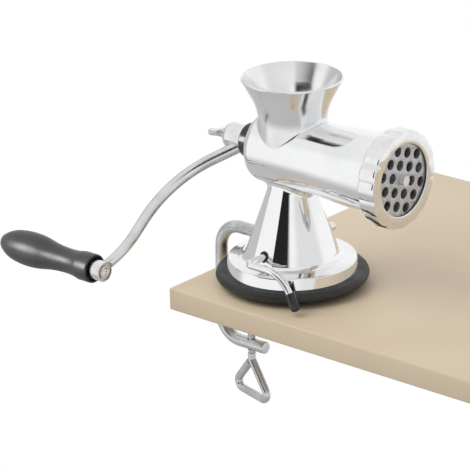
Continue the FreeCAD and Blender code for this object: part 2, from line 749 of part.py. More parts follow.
def make_auger():
    """Feed screw with a tail shaft, a square tail, a knife square and a front pin."""
    flight_r = BORE_R - AUGER_GAP
    start = DOME_X + FLIGHT_ROOT / 2
    length = KNIFE_BACK_X - FLIGHT_ROOT - start
    helix = Part.makeHelix(FLIGHT_PITCH, length, flight_r)
    rear_r = TAIL_R + AUGER_SHOULDER
    root = rear_r - FLIGHT_TIP
    section = Part.makePolygon([
        V(root, 0, -FLIGHT_ROOT / 2),
        V(flight_r, 0, -FLIGHT_TIP / 2),
        V(flight_r, 0, FLIGHT_TIP / 2),
        V(root, 0, FLIGHT_ROOT / 2),
        V(root, 0, -FLIGHT_ROOT / 2),
    ])
    flight = Part.Wire(helix.Edges).makePipeShell([section], True, True)
    flight.rotate(V(0, 0, 0), Y_AXIS, 90)
    flight.translate(V(start, 0, AXIS_Z))
    core = turned_x(
        (AUGER_REAR_X, 0),
        (AUGER_REAR_X, rear_r),
        (KNIFE_BACK_X, AUGER_ROOT_FRONT_R),
        (KNIFE_BACK_X, 0),
    )
    body = core.fuse(flight)
    body = body.fuse(bar_x(TAIL_R, BUSH_END_X, AUGER_REAR_X))
    body = body.fuse(square_x(TAIL_SQUARE, TAIL_END_X, BUSH_END_X))
    body = body.fuse(square_x(KNIFE_SQUARE, KNIFE_BACK_X, KNIFE_FRONT_X))
    body = body.fuse(bar_x(PIN_R, KNIFE_FRONT_X, PLATE_FRONT_X + PIN_OUT))
    thread_end = HUB_REAR_X + WING_THREAD_LENGTH + LOOSE_GAP
    return body.cut(bar_x(WING_THREAD_R + RUN_GAP, TAIL_END_X, thread_end))


def make_knife():
    """Knife with wings round a square hole, flat against the plate."""
    hub = bar_x(KNIFE_SQUARE / math.sqrt(2) + KNIFE_HUB_WALL, KNIFE_BACK_X, KNIFE_FRONT_X)
    face = outline(
        lambda x, y: V(x, y, AXIS_Z),
        (KNIFE_FRONT_X, -KNIFE_BLADE_WIDTH / 2),
        (KNIFE_FRONT_X, KNIFE_BLADE_WIDTH / 2),
        (KNIFE_BACK_X, KNIFE_BLADE_WIDTH / 2 - KNIFE_BEVEL),
        (KNIFE_BACK_X, -KNIFE_BLADE_WIDTH / 2),
    )
    blade = face.extrude(V(0, 0, KNIFE_REACH))
    for i in range(KNIFE_BLADES):
        wing = blade.copy()
        wing.rotate(AXIS, X_AXIS, 360 / KNIFE_BLADES * i)
        hub = hub.fuse(wing)
    hub = hub.common(bar_x(KNIFE_REACH, KNIFE_BACK_X, KNIFE_FRONT_X))
    return hub.cut(square_x(KNIFE_SQUARE + 2 * WELD_GAP, KNIFE_BACK_X, KNIFE_FRONT_X))


def make_grinding_plate():
    """Round plate with a hexagonal pattern of holes and a key notch at the top."""
    plate = bar_x(PLATE_R, PLATE_BACK_X, PLATE_FRONT_X)
    plate = plate.cut(bar_x(PIN_R + RUN_GAP, PLATE_BACK_X, PLATE_FRONT_X))
    turn = math.radians(PLATE_TURN_DEG)
    reach = PLATE_R - PLATE_HOLE_R - PLATE_RIM
    for across, up in ring_points(PLATE_RINGS, PLATE_PITCH):
        y = across * math.cos(turn) - up * math.sin(turn)
        z = across * math.sin(turn) + up * math.cos(turn)
        if math.hypot(y, z) > reach:
            continue
        plate = plate.cut(bar_x(PLATE_HOLE_R, PLATE_BACK_X, PLATE_FRONT_X, AXIS + V(0, y, z)))
    notch_r = KEY_PIN_R + LOOSE_GAP
    notch_z = AXIS_Z + PLATE_R - KEY_DEPTH - LOOSE_GAP
    notch = Part.makeBox(PLATE_THICK, 2 * notch_r, 2 * KEY_DEPTH, V(PLATE_BACK_X, -notch_r, notch_z))
    return plate.cut(notch)


def make_ring_nut():
    """Ring nut with a scalloped outside and a lip that holds the plate."""
    nut = turned_x(
        (NUT_BACK_X, THREAD_R + RUN_GAP),
        (NUT_BACK_X, NUT_R - NUT_EDGE),
        (NUT_BACK_X + NUT_EDGE, NUT_R),
        (NUT_FRONT_X - NUT_EDGE, NUT_R),
        (NUT_FRONT_X, NUT_R - NUT_EDGE),
        (NUT_FRONT_X, NUT_OPENING_R + NUT_EDGE),
        (NUT_FRONT_X - NUT_EDGE, NUT_OPENING_R),
        (PLATE_FRONT_X + WELD_GAP, NUT_OPENING_R),
        (PLATE_FRONT_X + WELD_GAP, THREAD_R + RUN_GAP),
    )
    reach = NUT_R + NUT_SCALLOP_R - NUT_SCALLOP_DEPTH
    for i in range(NUT_LOBES):
        turn = 2 * math.pi / NUT_LOBES * (i + 0.5)
        axis = AXIS + V(0, reach * math.cos(turn), reach * math.sin(turn))
        nut = nut.cut(bar_x(NUT_SCALLOP_R, NUT_BACK_X, NUT_FRONT_X, axis))
    return nut


def make_crank_hub():
    """Polished boss on the auger's square tail, rounded at its rear."""
    edge_mid = HUB_EDGE * QUARTER
    hub = turned_x(
        (HUB_REAR_X, 0),
        (HUB_REAR_X, HUB_R - HUB_EDGE),
        (HUB_REAR_X + edge_mid, HUB_R - edge_mid, HUB_REAR_X + HUB_EDGE, HUB_R),
        (HUB_FRONT_X, HUB_R),
        (HUB_FRONT_X, 0),
    )
    hub = hub.cut(square_x(TAIL_SQUARE + 2 * WELD_GAP, TAIL_END_X - LOOSE_GAP, HUB_FRONT_X))
    return hub.cut(bar_x(WING_THREAD_R + RUN_GAP, HUB_REAR_X, HUB_FRONT_X))


def make_crank_arm():
    """S-bent rod from the hub to the grip's boss."""
    places = [
        (ARM_ROOT_IN, 0),
        (ARM_SWEEP_R, ARM_SWEEP_X),
        (ARM_RUN_R, ARM_RUN_X),
        (ARM_END_R, ARM_END_X),
    ]
    out = 0.0
    x = ARM_ROOT_X
    points = []
    for step_out, step_x in places:
        out += step_out
        x -= step_x
        points.append(AXIS + ARM_OUT * out + X_AXIS * x)
    rod = bent_rod(ARM_THICK_R, points, (ARM_SWEEP_BEND, ARM_END_BEND), ARM_SLIM_R)
    rod = rod.cut(bar_x(HUB_R + WELD_GAP, HUB_REAR_X, BARREL_REAR_X))
    boss = bar_x(BOSS_R + WELD_GAP, GRIP_FACE_X - GRIP_LENGTH, BOSS_FACE_X + BOSS_SHOWN, GRIP_AXIS)
    pieces = rod.cut(boss).Solids
    return max(pieces, key=lambda piece: piece.Volume)


def make_grip_boss():
    """Steel sleeve at the arm's end, reaching a little way into the grip."""
    end = GRIP_FACE_X - GRIP_RECESS + LOOSE_GAP
    sleeve = bar_x(BOSS_R, end, BOSS_FACE_X, GRIP_AXIS)
    return sleeve.cut(bar_x(SPINDLE_R + WELD_GAP, end, BOSS_FACE_X, GRIP_AXIS))


def make_grip_spindle():
    """Pin through the boss and the grip, riveted over on the boss."""
    pin = bar_x(SPINDLE_R, SPINDLE_END_X, BOSS_FACE_X, GRIP_AXIS)
    head_r = SPINDLE_R + SPINDLE_HEAD_LIP
    dome = (head_r ** 2 + SPINDLE_HEAD ** 2) / (2 * SPINDLE_HEAD)
    half = math.asin(head_r / dome) / 2
    head = turned_x(
        (BOSS_FACE_X, 0),
        (BOSS_FACE_X, head_r),
        (
            BOSS_FACE_X + SPINDLE_HEAD - dome * (1 - math.cos(half)),
            dome * math.sin(half),
            BOSS_FACE_X + SPINDLE_HEAD,
            0,
        ),
        axis=GRIP_AXIS,
    )
    return pin.fuse(head)


def make_spindle_nut():
    """Nut on the spindle's end that keeps the grip on."""
    start = SPINDLE_END_X
    nut = bar_x(SPINDLE_NUT_R, start, start + SPINDLE_NUT - LOOSE_GAP, GRIP_AXIS)
    return nut.cut(bar_x(SPINDLE_R + WELD_GAP, start, start + SPINDLE_NUT, GRIP_AXIS))


def eased(level, end):
    """Where the arc that leaves one point along X, and goes to another, is half way: (x, radius)."""
    run = end[0] - level[0]
    rise = end[1] - level[1]
    radius = (run ** 2 + rise ** 2) / (2 * rise)
    half = math.asin(run / radius) / 2
    return (level[0] + radius * math.sin(half), level[1] + radius * (1 - math.cos(half)))


def make_grip():
    """Turned handle with a collar, a waist, a belly and a blunt end."""
    face = GRIP_FACE_X
    recess_x = face - GRIP_RECESS
    recess_r = BOSS_R + GRIP_RECESS_GAP
    bore_r = SPINDLE_R + RUN_GAP
    pocket_x = GRIP_END_X + GRIP_END_CLEAR
    edge_mid = GRIP_EDGE * QUARTER
    collar = (face - GRIP_COLLAR_LENGTH, GRIP_FRONT_R)
    waist = (face - GRIP_WAIST_AT, GRIP_WAIST_R)
    belly = (GRIP_END_X + GRIP_BELLY_TO_END, GRIP_BELLY_R)
    turn = tuple(low + (high - low) * GRIP_TURN_SHARE for low, high in zip(waist, belly))
    belly_curve = (math.dist(belly, turn) ** 2) / (2 * (belly[1] - turn[1]))
    fall = math.sqrt(belly_curve ** 2 - (GRIP_BELLY_TO_END - GRIP_SHOULDER_TO_END) ** 2)
    shoulder = (GRIP_END_X + GRIP_SHOULDER_TO_END, GRIP_BELLY_R - belly_curve + fall)
    end = (GRIP_END_X, POCKET_R + GRIP_END_WALL)
    end_mid = (
        shoulder[0] + (end[0] - shoulder[0]) * (1 - QUARTER),
        shoulder[1] + (end[1] - shoulder[1]) * GRIP_END_SHARE,
    )
    return turned_x(
        (recess_x, bore_r),
        (recess_x, recess_r),
        (face, recess_r),
        (face, GRIP_FRONT_R - GRIP_EDGE / 2),
        (face - edge_mid, GRIP_FRONT_R - edge_mid / 2, face - GRIP_EDGE, GRIP_FRONT_R),
        collar,
        eased(waist, collar) + waist,
        eased(waist, turn) + turn,
        belly + shoulder,
        end_mid + end,
        (GRIP_END_X, POCKET_R),
        (pocket_x, POCKET_R),
        (pocket_x, bore_r),
        axis=GRIP_AXIS,
    )


def make_grip_end_cap():
    """Plug that closes the pocket in the grip's far end."""
    radius = POCKET_R - WELD_GAP
    outer_x = GRIP_END_X - END_CAP_PROUD
    return turned_x(
        (outer_x, 0),
        (outer_x, radius - END_CAP_PROUD),
        (GRIP_END_X, radius),
        (GRIP_END_X + END_CAP_THICK, radius),
        (GRIP_END_X + END_CAP_THICK, 0),
        axis=GRIP_AXIS,
    )


def make_wing_washer():
    """Washer under the wing screw."""
    ring = bar_x(WING_THREAD_R + WING_WASHER_LIP, WASHER_REAR_X, HUB_REAR_X)
    return ring.cut(bar_x(WING_THREAD_R + RUN_GAP, WASHER_REAR_X, HUB_REAR_X))


def make_wing_screw():
    """Screw with two wings, edge on to the front of the grinder."""
    start = WASHER_REAR_X
    tip_x = start - WING_HEIGHT + WING_TIP_R
    tip_y = WING_SPAN - WING_TIP_R
    screw = bar_x(WING_THREAD_R, start, HUB_REAR_X + WING_THREAD_LENGTH)
    hub_r = WING_THREAD_R + WING_HUB_WALL
    screw = screw.fuse(bar_x(hub_r, start, start - WING_HUB))
    low = AXIS_Z - WING_THICK / 2
    for side in (-1, 1):
        tip = Part.makeCylinder(WING_TIP_R, WING_THICK, V(tip_x, side * tip_y, low))
        web = outline(
            lambda x, y: V(x, side * y, low),
            (start - WING_ROOT, 0),
            (start - WING_ROOT, hub_r),
            (tip_x + WING_TIP_R / 2, tip_y + WING_TIP_R * math.sqrt(0.75)),
            (tip_x - WING_TIP_R / 2, tip_y - WING_TIP_R * math.sqrt(0.75)),
            (start - WING_HUB, 0),
        )
        screw = screw.fuse(tip).fuse(web.extrude(V(0, 0, WING_THICK)))
    screw.rotate(AXIS, X_AXIS, WING_TURN_DEG)
    return screw


def make_clamp_rod():
    """Round rod bent to a C: an arm in the pedestal, a leaning leg and a lower arm with the screw hole."""
    rod = bent_rod(
        CLAMP_R,
        [
            V(-CLAMP_IN, 0, CLAMP_Z),
            V(CLAMP_LEG_X, 0, CLAMP_Z),
            V(CLAMP_LEG_X - CLAMP_LEAN, 0, CLAMP_ARM_Z),
            V(SCREW_X + CLAMP_ARM_OVER, 0, CLAMP_ARM_Z),
        ],
        (CLAMP_TOP_BEND, CLAMP_LOW_BEND),
    )
    hole = Part.makeCylinder(SCREW_R + RUN_GAP, 4 * CLAMP_R, V(SCREW_X, 0, CLAMP_ARM_Z - 2 * CLAMP_R))
    return rod.cut(hole)


def make_clamp_pad():
    """Pad that presses under the table, with a socket for the screw's end."""
    disc_z = PAD_TOP_Z - PAD_THICK
    socket_r = SCREW_R + RUN_GAP
    hub_r = SCREW_R + PAD_HUB_WALL
    return turned_z(
        (0, PAD_TOP_Z),
        (PAD_R, PAD_TOP_Z),
        (PAD_R, disc_z),
        (hub_r, disc_z),
        (hub_r, PAD_LOW_Z),
        (socket_r, PAD_LOW_Z),
        (socket_r, PAD_LOW_Z + PAD_SOCKET),
        (0, PAD_LOW_Z + PAD_SOCKET),
        x=SCREW_X,
    )


def make_clamp_screw():
    """Screw bent from one rod, with a three-cornered loop for a handle."""
    top_z = PAD_LOW_Z + PAD_SOCKET - LOOSE_GAP
    half = LOOP_WIDTH / 2
    low_z = LOOP_TOP_Z - LOOP_HEIGHT
    lean = math.atan2(half, LOOP_HEIGHT)
    free = (SCREW_R * (1 + math.cos(2 * lean)) + LOOSE_GAP) / math.sin(2 * lean)
    places = [
        (0, top_z),
        (0, LOOP_TOP_Z),
        (half, low_z),
        (-half, low_z),
        (-free * math.sin(lean), LOOP_TOP_Z - free * math.cos(lean)),
    ]
    rod = bent_rod(SCREW_R, [V(SCREW_X + s, 0, z) for s, z in places], (LOOP_BEND,) * 3)
    rod.rotate(V(SCREW_X, 0, 0), Z_AXIS, LOOP_TURN_DEG)
    return rod


PIECES = {
    "pedestal": make_pedestal,
    "suction_cup": make_suction_cup,
    "cup_stem": make_cup_stem,
    "stem_guide": make_stem_guide,
    "lever_rod": make_lever_rod,
    "lever_tip": make_lever_tip,
    "lever_end_cap": make_lever_end_cap,
    "lever_cam": make_lever_cam,
    "lever_bushes": make_lever_bushes,
    "barrel": make_barrel,
    "hopper": make_hopper,
    "plate_key_pin": make_plate_key_pin,
    "rear_bush": make_rear_bush,
    "thrust_washer": make_thrust_washer,
    "auger": make_auger,
    "knife": make_knife,
    "grinding_plate": make_grinding_plate,
    "ring_nut": make_ring_nut,
    "crank_hub": make_crank_hub,
    "crank_arm": make_crank_arm,
    "grip_boss": make_grip_boss,
    "grip_spindle": make_grip_spindle,
    "spindle_nut": make_spindle_nut,
    "grip": make_grip,
    "grip_end_cap": make_grip_end_cap,
    "wing_washer": make_wing_washer,
    "wing_screw": make_wing_screw,
    "clamp_rod": make_clamp_rod,
    "clamp_socket": make_clamp_socket,
    "clamp_screw": make_clamp_screw,
    "clamp_pad": make_clamp_pad,
}


def main():
    """Write each piece to its own file and print its solids and volume."""
    os.makedirs("parts", exist_ok=True)
    for name, make in PIECES.items():
        shape = make()
        shape.exportStep(f"parts/{name}.step")
        print(f"{name}: {len(shape.Solids)} solid, {shape.Volume:.0f} mm3, valid {shape.isValid()}")


main()
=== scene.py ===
"""Hand crank meat grinder, dressed around its packed frame.

Metres, +Z up. The barrel lies along X with its outlet at +X, and the suction lever is on the -Y side.
"""
from __future__ import annotations

import cmath
import json
import logging
import math
from collections.abc import Callable
from dataclasses import dataclass, replace
from enum import Enum

import bmesh
import bpy
from mathutils import Matrix, Vector

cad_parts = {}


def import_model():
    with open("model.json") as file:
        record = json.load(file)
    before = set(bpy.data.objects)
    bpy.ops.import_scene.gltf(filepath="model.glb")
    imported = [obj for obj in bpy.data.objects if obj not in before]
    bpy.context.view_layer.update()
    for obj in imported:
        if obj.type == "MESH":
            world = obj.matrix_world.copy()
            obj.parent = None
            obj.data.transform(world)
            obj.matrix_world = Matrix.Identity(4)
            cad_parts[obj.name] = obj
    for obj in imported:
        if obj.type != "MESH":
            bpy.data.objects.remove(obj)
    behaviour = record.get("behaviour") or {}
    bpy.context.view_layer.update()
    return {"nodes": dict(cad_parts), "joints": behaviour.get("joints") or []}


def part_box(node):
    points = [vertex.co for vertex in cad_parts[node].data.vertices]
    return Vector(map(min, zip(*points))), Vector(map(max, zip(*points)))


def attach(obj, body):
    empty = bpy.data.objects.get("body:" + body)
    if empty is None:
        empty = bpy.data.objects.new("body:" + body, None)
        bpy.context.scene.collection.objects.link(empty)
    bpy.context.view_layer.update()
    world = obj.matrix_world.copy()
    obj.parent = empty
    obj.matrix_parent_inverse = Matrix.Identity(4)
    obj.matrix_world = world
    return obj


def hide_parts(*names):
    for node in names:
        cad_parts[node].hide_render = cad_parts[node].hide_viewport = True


LOG = logging.getLogger("grinder")
MERGE = 2e-6
SMOOTH_ANGLE = math.radians(32)
ARC_STEPS = 14
EDGE_STEPS = 5
THREAD_STEPS = 24
THREAD_SINK = 0.9
THREAD_SECTION = ((0.0, False), (0.36, True), (0.48, True), (0.84, False))
HAZE_SPAN = (0.38, 0.66)
SCRATCH_SPAN = (0.66, 0.72)
SCRATCH_TURNS = ((0.3, 0.9, 0.2), (-0.7, 0.4, 1.1))
SCRATCH_STRETCH = (1.0, 0.03, 0.9)
RUBBED_LEAN = (0.80, 0.99)
RUBBED_SPAN = (0.35, 0.6)
RUBBED_PATCHES = 4.0
HALF_TURN = 180.0
SENSOR_WIDTH = 36.0
Colour = tuple[float, float, float]


class Axis(Enum):
    """Line that a piece is turned about."""

    X = (1, 0, 0)
    Y = (0, 1, 0)
    Z = (0, 0, 1)

    @property
    def along(self) -> Vector:
        """Unit vector along the line."""
        return Vector(self.value)

    @property
    def across(self) -> Vector:
        """Unit vector that an outline stands out along."""
        return Vector((1, 0, 0)) if self is Axis.Z else Vector((0, 0, 1))


@dataclass(frozen=True)
class Corner:
    """Corner of a turned outline: its place along the axis, its radius and how far it is rounded."""

    at: float
    radius: float
    ease: float = 0.0


# Modelling steps


def deselect() -> None:
    """Go back to object mode with nothing selected."""
    if bpy.context.mode != "OBJECT":
        bpy.ops.object.mode_set(mode="OBJECT")
    bpy.ops.object.select_all(action="DESELECT")


def take(piece: bpy.types.Object) -> None:
    """Make a piece the only selected one, and the active one.

    Args:
        piece: Piece to select.
    """
    deselect()
    piece.select_set(True)
    bpy.context.view_layer.objects.active = piece


def edit(piece: bpy.types.Object) -> None:
    """Open a piece in edit mode with all its vertices selected.

    Args:
        piece: Piece to open.
    """
    take(piece)
    bpy.ops.object.mode_set(mode="EDIT")
    bpy.ops.mesh.select_mode(type="VERT")
    bpy.ops.mesh.select_all(action="SELECT")


def named(name: str) -> bpy.types.Object:
    """Name the active object and its data.

    Args:
        name: Name to give.

    Returns:
        The active object.
    """
    piece = bpy.context.object
    piece.name = name
    piece.data.name = name
    return piece


def pick(piece: bpy.types.Object, wanted: Callable[[Vector], bool]) -> None:
    """Select vertices of the piece that is in edit mode.

    Args:
        piece: Piece in edit mode.
        wanted: Test that a vertex's place has to pass.
    """
    mesh = bmesh.from_edit_mesh(piece.data)
    for vertex in mesh.verts:
        vertex.select = wanted(vertex.co)
    mesh.select_flush_mode()
    bmesh.update_edit_mesh(piece.data)


def close_mesh(piece: bpy.types.Object, angle: float = SMOOTH_ANGLE) -> None:
    """Merge doubles, turn the faces outwards and smooth all but the sharp edges.

    Args:
        piece: Piece to finish.
        angle: Edges that turn more than this stay sharp.
    """
    edit(piece)
    bpy.ops.mesh.remove_doubles(threshold=MERGE)
    bpy.ops.mesh.normals_make_consistent(inside=False)
    take(piece)
    bpy.ops.object.shade_smooth_by_angle(angle=angle)


def seat(piece: bpy.types.Object, place: Matrix) -> None:
    """Move a piece and put its place into its mesh.

    Args:
        piece: Piece whose object is at the origin.
        place: Move to make.
    """
    piece.matrix_world = place
    take(piece)
    bpy.ops.object.transform_apply(location=True, rotation=True, scale=True)


def standing(foot: Vector, along: Vector) -> Matrix:
    """Move that stands a piece made along +Z at a place, along a direction."""
    return Matrix.Translation(foot) @ Axis.Z.along.rotation_difference(along).to_matrix().to_4x4()


def about(centre: Vector, axis: Vector, degrees: float) -> Matrix:
    """Turn about a line through a centre."""
    turn = Matrix.Rotation(math.radians(degrees), 4, axis)
    return Matrix.Translation(centre) @ turn @ Matrix.Translation(-centre)


def apply(piece: bpy.types.Object, modifier: bpy.types.Modifier) -> None:
    """Apply one modifier."""
    take(piece)
    bpy.ops.object.modifier_apply(modifier=modifier.name)


def soften(piece: bpy.types.Object, width: float, segments: int = 3, degrees: float = 35) -> None:
    """Round a piece's sharp edges.

    Args:
        piece: Piece to round.
        width: Width of the rounding.
        segments: Facets across the rounding.
        degrees: Edges that turn more than this are rounded.
    """
    bevel = piece.modifiers.new("soften", "BEVEL")
    bevel.width = width
    bevel.segments = segments
    bevel.limit_method = "ANGLE"
    bevel.angle_limit = math.radians(degrees)
    apply(piece, bevel)


def cut(piece: bpy.types.Object, tool: bpy.types.Object) -> None:
    """Cut a tool's shape out of a piece and remove the tool.

    Args:
        piece: Piece to cut.
        tool: Shape to take away.
    """
    boolean = piece.modifiers.new("cut", "BOOLEAN")
    boolean.operation = "DIFFERENCE"
    boolean.solver = "EXACT"
    boolean.object = tool
    apply(piece, boolean)
    bpy.data.objects.remove(tool)


def join(name: str, parts: list[bpy.types.Object]) -> bpy.types.Object:
    """Join pieces into one.

    Args:
        name: Name of the joined piece.
        parts: Pieces to join, of which the first stays.

    Returns:
        The joined piece.
    """
    take(parts[0])
    for part in parts:
        part.select_set(True)
    bpy.ops.object.join()
    return named(name)


def copied(piece: bpy.types.Object, place: Matrix) -> bpy.types.Object:
    """Copy a piece, with a mesh of its own, to another place.

    Args:
        piece: Piece to copy.
        place: Move from the piece to its copy.

    Returns:
        The copy.
    """
    take(piece)
    bpy.ops.object.duplicate(linked=False)
    copy = bpy.context.object
    seat(copy, place)
    return copy


def bar(name: str, radius: float, low: Vector, high: Vector, sides: int = 48) -> bpy.types.Object:
    """Round bar between two points, as a tool or a start for a piece.

    Args:
        name: Name of the bar.
        radius: Its radius.
        low: Middle of one end.
        high: Middle of the other end.
        sides: Facets round it.

    Returns:
        The bar, with its place in its mesh.
    """
    deselect()
    run = high - low
    bpy.ops.mesh.primitive_cylinder_add(vertices=sides, radius=radius, depth=run.length)
    piece = named(name)
    seat(piece, standing((low + high) / 2, run.normalized()))
    return piece


def bowed(start: Corner, middle: Corner, end: Corner, count: int = ARC_STEPS) -> list[Corner]:
    """Corners along the arc through three corners.

    Args:
        start: Where the arc starts, which the list leaves out.
        middle: Any corner on the way.
        end: Where the arc ends, which the list holds.
        count: How many corners the arc gets.

    Returns:
        The arc's corners.
    """
    first, half, last = (complex(corner.at, corner.radius) for corner in (start, middle, end))
    ratio = (last - first) / (half - first)
    hub = first + (half - first) * (ratio - abs(ratio) ** 2) / (ratio - ratio.conjugate())
    to_half, to_last = (cmath.phase((spot - hub) / (first - hub)) for spot in (half, last))
    if to_half * to_last < 0 or abs(to_half) > abs(to_last):
        to_last -= math.copysign(math.tau, to_last)
    spots = [hub + (first - hub) * cmath.rect(1, to_last * step / count) for step in range(1, count + 1)]
    return [Corner(spot.real, spot.imag) for spot in spots]


def levelled(level: Corner, end: Corner, count: int = ARC_STEPS) -> list[Corner]:
    """Corners along the arc that leaves one corner along the axis and goes to another.

    Args:
        level: Where the arc starts, which the list holds.
        end: Where the arc ends, which the list holds.
        count: How many steps the arc gets.

    Returns:
        The arc's corners.
    """
    run = end.at - level.at
    rise = end.radius - level.radius
    radius = (run ** 2 + rise ** 2) / (2 * rise)
    turns = [math.asin(run / radius) * step / count for step in range(count + 1)]
    return [
        Corner(level.at + radius * math.sin(turn), level.radius + radius * (1 - math.cos(turn)))
        for turn in turns
    ]


def turned(
    name: str, axis: Axis, centre: Vector, corners: list[Corner], steps: int = 96, ring: bool = False
) -> bpy.types.Object:
    """Turn a piece from an outline.

    Args:
        name: Name of the piece.
        axis: Direction of the line that it is turned about.
        centre: Point on that line from which places along it are measured.
        corners: Outline, from the line back to the line, or all round a ring's section.
        steps: Facets round the piece.
        ring: Whether the outline closes on itself.

    Returns:
        The turned piece.
    """

    def place(corner: Corner) -> Vector:
        """Place of a corner of the outline."""
        return centre + axis.along * corner.at + axis.across * corner.radius

    deselect()
    bpy.ops.mesh.primitive_plane_add(size=MERGE)
    piece = named(name)
    edit(piece)
    bpy.ops.mesh.merge(type="CENTER")
    bpy.ops.transform.translate(value=place(corners[0]))
    for here, there in zip(corners, corners[1:]):
        bpy.ops.mesh.extrude_region_move(TRANSFORM_OT_translate={"value": place(there) - place(here)})
    if ring:
        ends = (place(corners[0]), place(corners[-1]))
        pick(piece, lambda spot: min((spot - end).length for end in ends) < MERGE)
        bpy.ops.mesh.edge_face_add()
    for corner in corners:
        if corner.ease:
            pick(piece, lambda spot: (spot - place(corner)).length < MERGE)
            bpy.ops.mesh.bevel(offset=corner.ease, segments=EDGE_STEPS, affect="VERTICES")
    bpy.ops.mesh.select_all(action="SELECT")
    bpy.ops.mesh.spin(steps=steps, angle=math.tau, center=centre, axis=axis.along)
    close_mesh(piece)
    return piece


def bent_rod(
    name: str,
    radius: float,
    route: list[Vector],
    bends: tuple[float, ...],
    ease: float = 0.0,
    sides: int = 36,
) -> bpy.types.Object:
    """Round rod that is drawn out along straight runs and bent round arcs.

    Args:
        name: Name of the rod.
        radius: Radius of the rod.
        route: Corner points of its middle line.
        bends: Radius of the bend at each inner corner.
        ease: Rounding of its two ends.
        sides: Facets round it.

    Returns:
        The rod.
    """
    deselect()
    bpy.ops.mesh.primitive_circle_add(vertices=sides, radius=radius)
    rod = named(name)
    seat(rod, standing(route[0], (route[1] - route[0]).normalized()))
    edit(rod)
    here = route[0]
    for corner, bend, after in zip(route[1:], bends, route[2:]):
        ahead = (corner - here).normalized()
        beyond = (after - corner).normalized()
        turn = ahead.angle(beyond)
        reach = bend * math.tan(turn / 2)
        entry = corner - ahead * reach
        bpy.ops.mesh.extrude_region_move(TRANSFORM_OT_translate={"value": entry - here})
        inward = (beyond - ahead * ahead.dot(beyond)).normalized()
        bpy.ops.mesh.spin(
            steps=ARC_STEPS,
            angle=-turn,
            center=entry + inward * bend,
            axis=ahead.cross(beyond).normalized(),
        )
        here = corner + beyond * reach
    bpy.ops.mesh.extrude_region_move(TRANSFORM_OT_translate={"value": route[-1] - here})
    bpy.ops.mesh.select_all(action="SELECT")
    bpy.ops.mesh.fill_holes(sides=0)
    if ease:
        for end in (route[0], route[-1]):
            pick(rod, lambda spot: (spot - end).length < radius + MERGE)
            bpy.ops.mesh.bevel(offset=ease, segments=EDGE_STEPS - 1, affect="EDGES")
    close_mesh(rod)
    return rod


def threaded(
    name: str, core: float, crest: float, pitch: float, length: float, lead: float = 0.0008
) -> bpy.types.Object:
    """Threaded bar along +Z from the origin.

    Args:
        name: Name of the bar.
        core: Radius at the thread's root.
        crest: Radius at its crest.
        pitch: Climb of one turn.
        length: Length of the bar.
        lead: Bare length at each end, which is chamfered.

    Returns:
        The threaded bar.
    """
    sink = core * THREAD_SINK
    deselect()
    bpy.ops.mesh.primitive_plane_add(size=MERGE)
    ridge = named(name + "_ridge")
    edit(ridge)
    bpy.ops.mesh.merge(type="CENTER")
    spots = [Vector((crest if top else sink, 0, lead + share * pitch)) for share, top in THREAD_SECTION]
    bpy.ops.transform.translate(value=spots[0])
    for here, there in zip(spots, spots[1:]):
        bpy.ops.mesh.extrude_region_move(TRANSFORM_OT_translate={"value": there - here})
    pick(ridge, lambda spot: min((spot - spots[0]).length, (spot - spots[-1]).length) < MERGE)
    bpy.ops.mesh.edge_face_add()
    wind = ridge.modifiers.new("wind", "SCREW")
    wind.axis = "Z"
    wind.screw_offset = pitch
    wind.iterations = int((length - 2 * lead) / pitch)
    wind.steps = wind.render_steps = THREAD_STEPS
    apply(ridge, wind)
    edit(ridge)
    bpy.ops.mesh.fill_holes(sides=0)
    close_mesh(ridge)
    shaft = turned(
        name,
        Axis.Z,
        Vector(),
        [Corner(0, 0), Corner(0, core, lead / 3), Corner(length, core, lead / 3), Corner(length, 0)],
        steps=36,
    )
    return join(name, [shaft, ridge])


# Finishes


@dataclass
class Wiring:
    """Node tree with one short way to add a node and join it up."""

    tree: bpy.types.NodeTree

    def add(self, kind: str, inputs: dict, **settings: object) -> bpy.types.Node:
        """Add a node.

        Args:
            kind: Node type.
            inputs: Value or source socket for each input by its name or number.
            settings: Properties of the node.

        Returns:
            The node.
        """
        node = self.tree.nodes.new(kind)
        for name, value in settings.items():
            setattr(node, name, value)
        for name, value in inputs.items():
            if isinstance(value, bpy.types.NodeSocket):
                self.tree.links.new(value, node.inputs[name])
            else:
                node.inputs[name].default_value = value
        return node

    def math(self, operation: str, *values: object) -> bpy.types.NodeSocket:
        """Result of a Math node on values or sockets."""
        return self.add("ShaderNodeMath", dict(enumerate(values)), operation=operation).outputs[0]

    def spread(
        self, value: object, low: float, high: float, to_low: float, to_high: float
    ) -> bpy.types.NodeSocket:
        """Result of a smooth Map Range node."""
        span = {"Value": value, "From Min": low, "From Max": high, "To Min": to_low, "To Max": to_high}
        return self.add("ShaderNodeMapRange", span, interpolation_type="SMOOTHSTEP").outputs["Result"]

    def about_x(self, vector: bpy.types.NodeSocket) -> tuple[bpy.types.NodeSocket, bpy.types.NodeSocket]:
        """Where a place is on a piece that was turned about X.

        Args:
            vector: The place.

        Returns:
            The place along X, and its distance from X.
        """
        parts = self.add("ShaderNodeSeparateXYZ", {"Vector": vector}).outputs
        squares = [self.math("MULTIPLY", parts[name], parts[name]) for name in "YZ"]
        return parts["X"], self.math("SQRT", self.math("ADD", *squares))


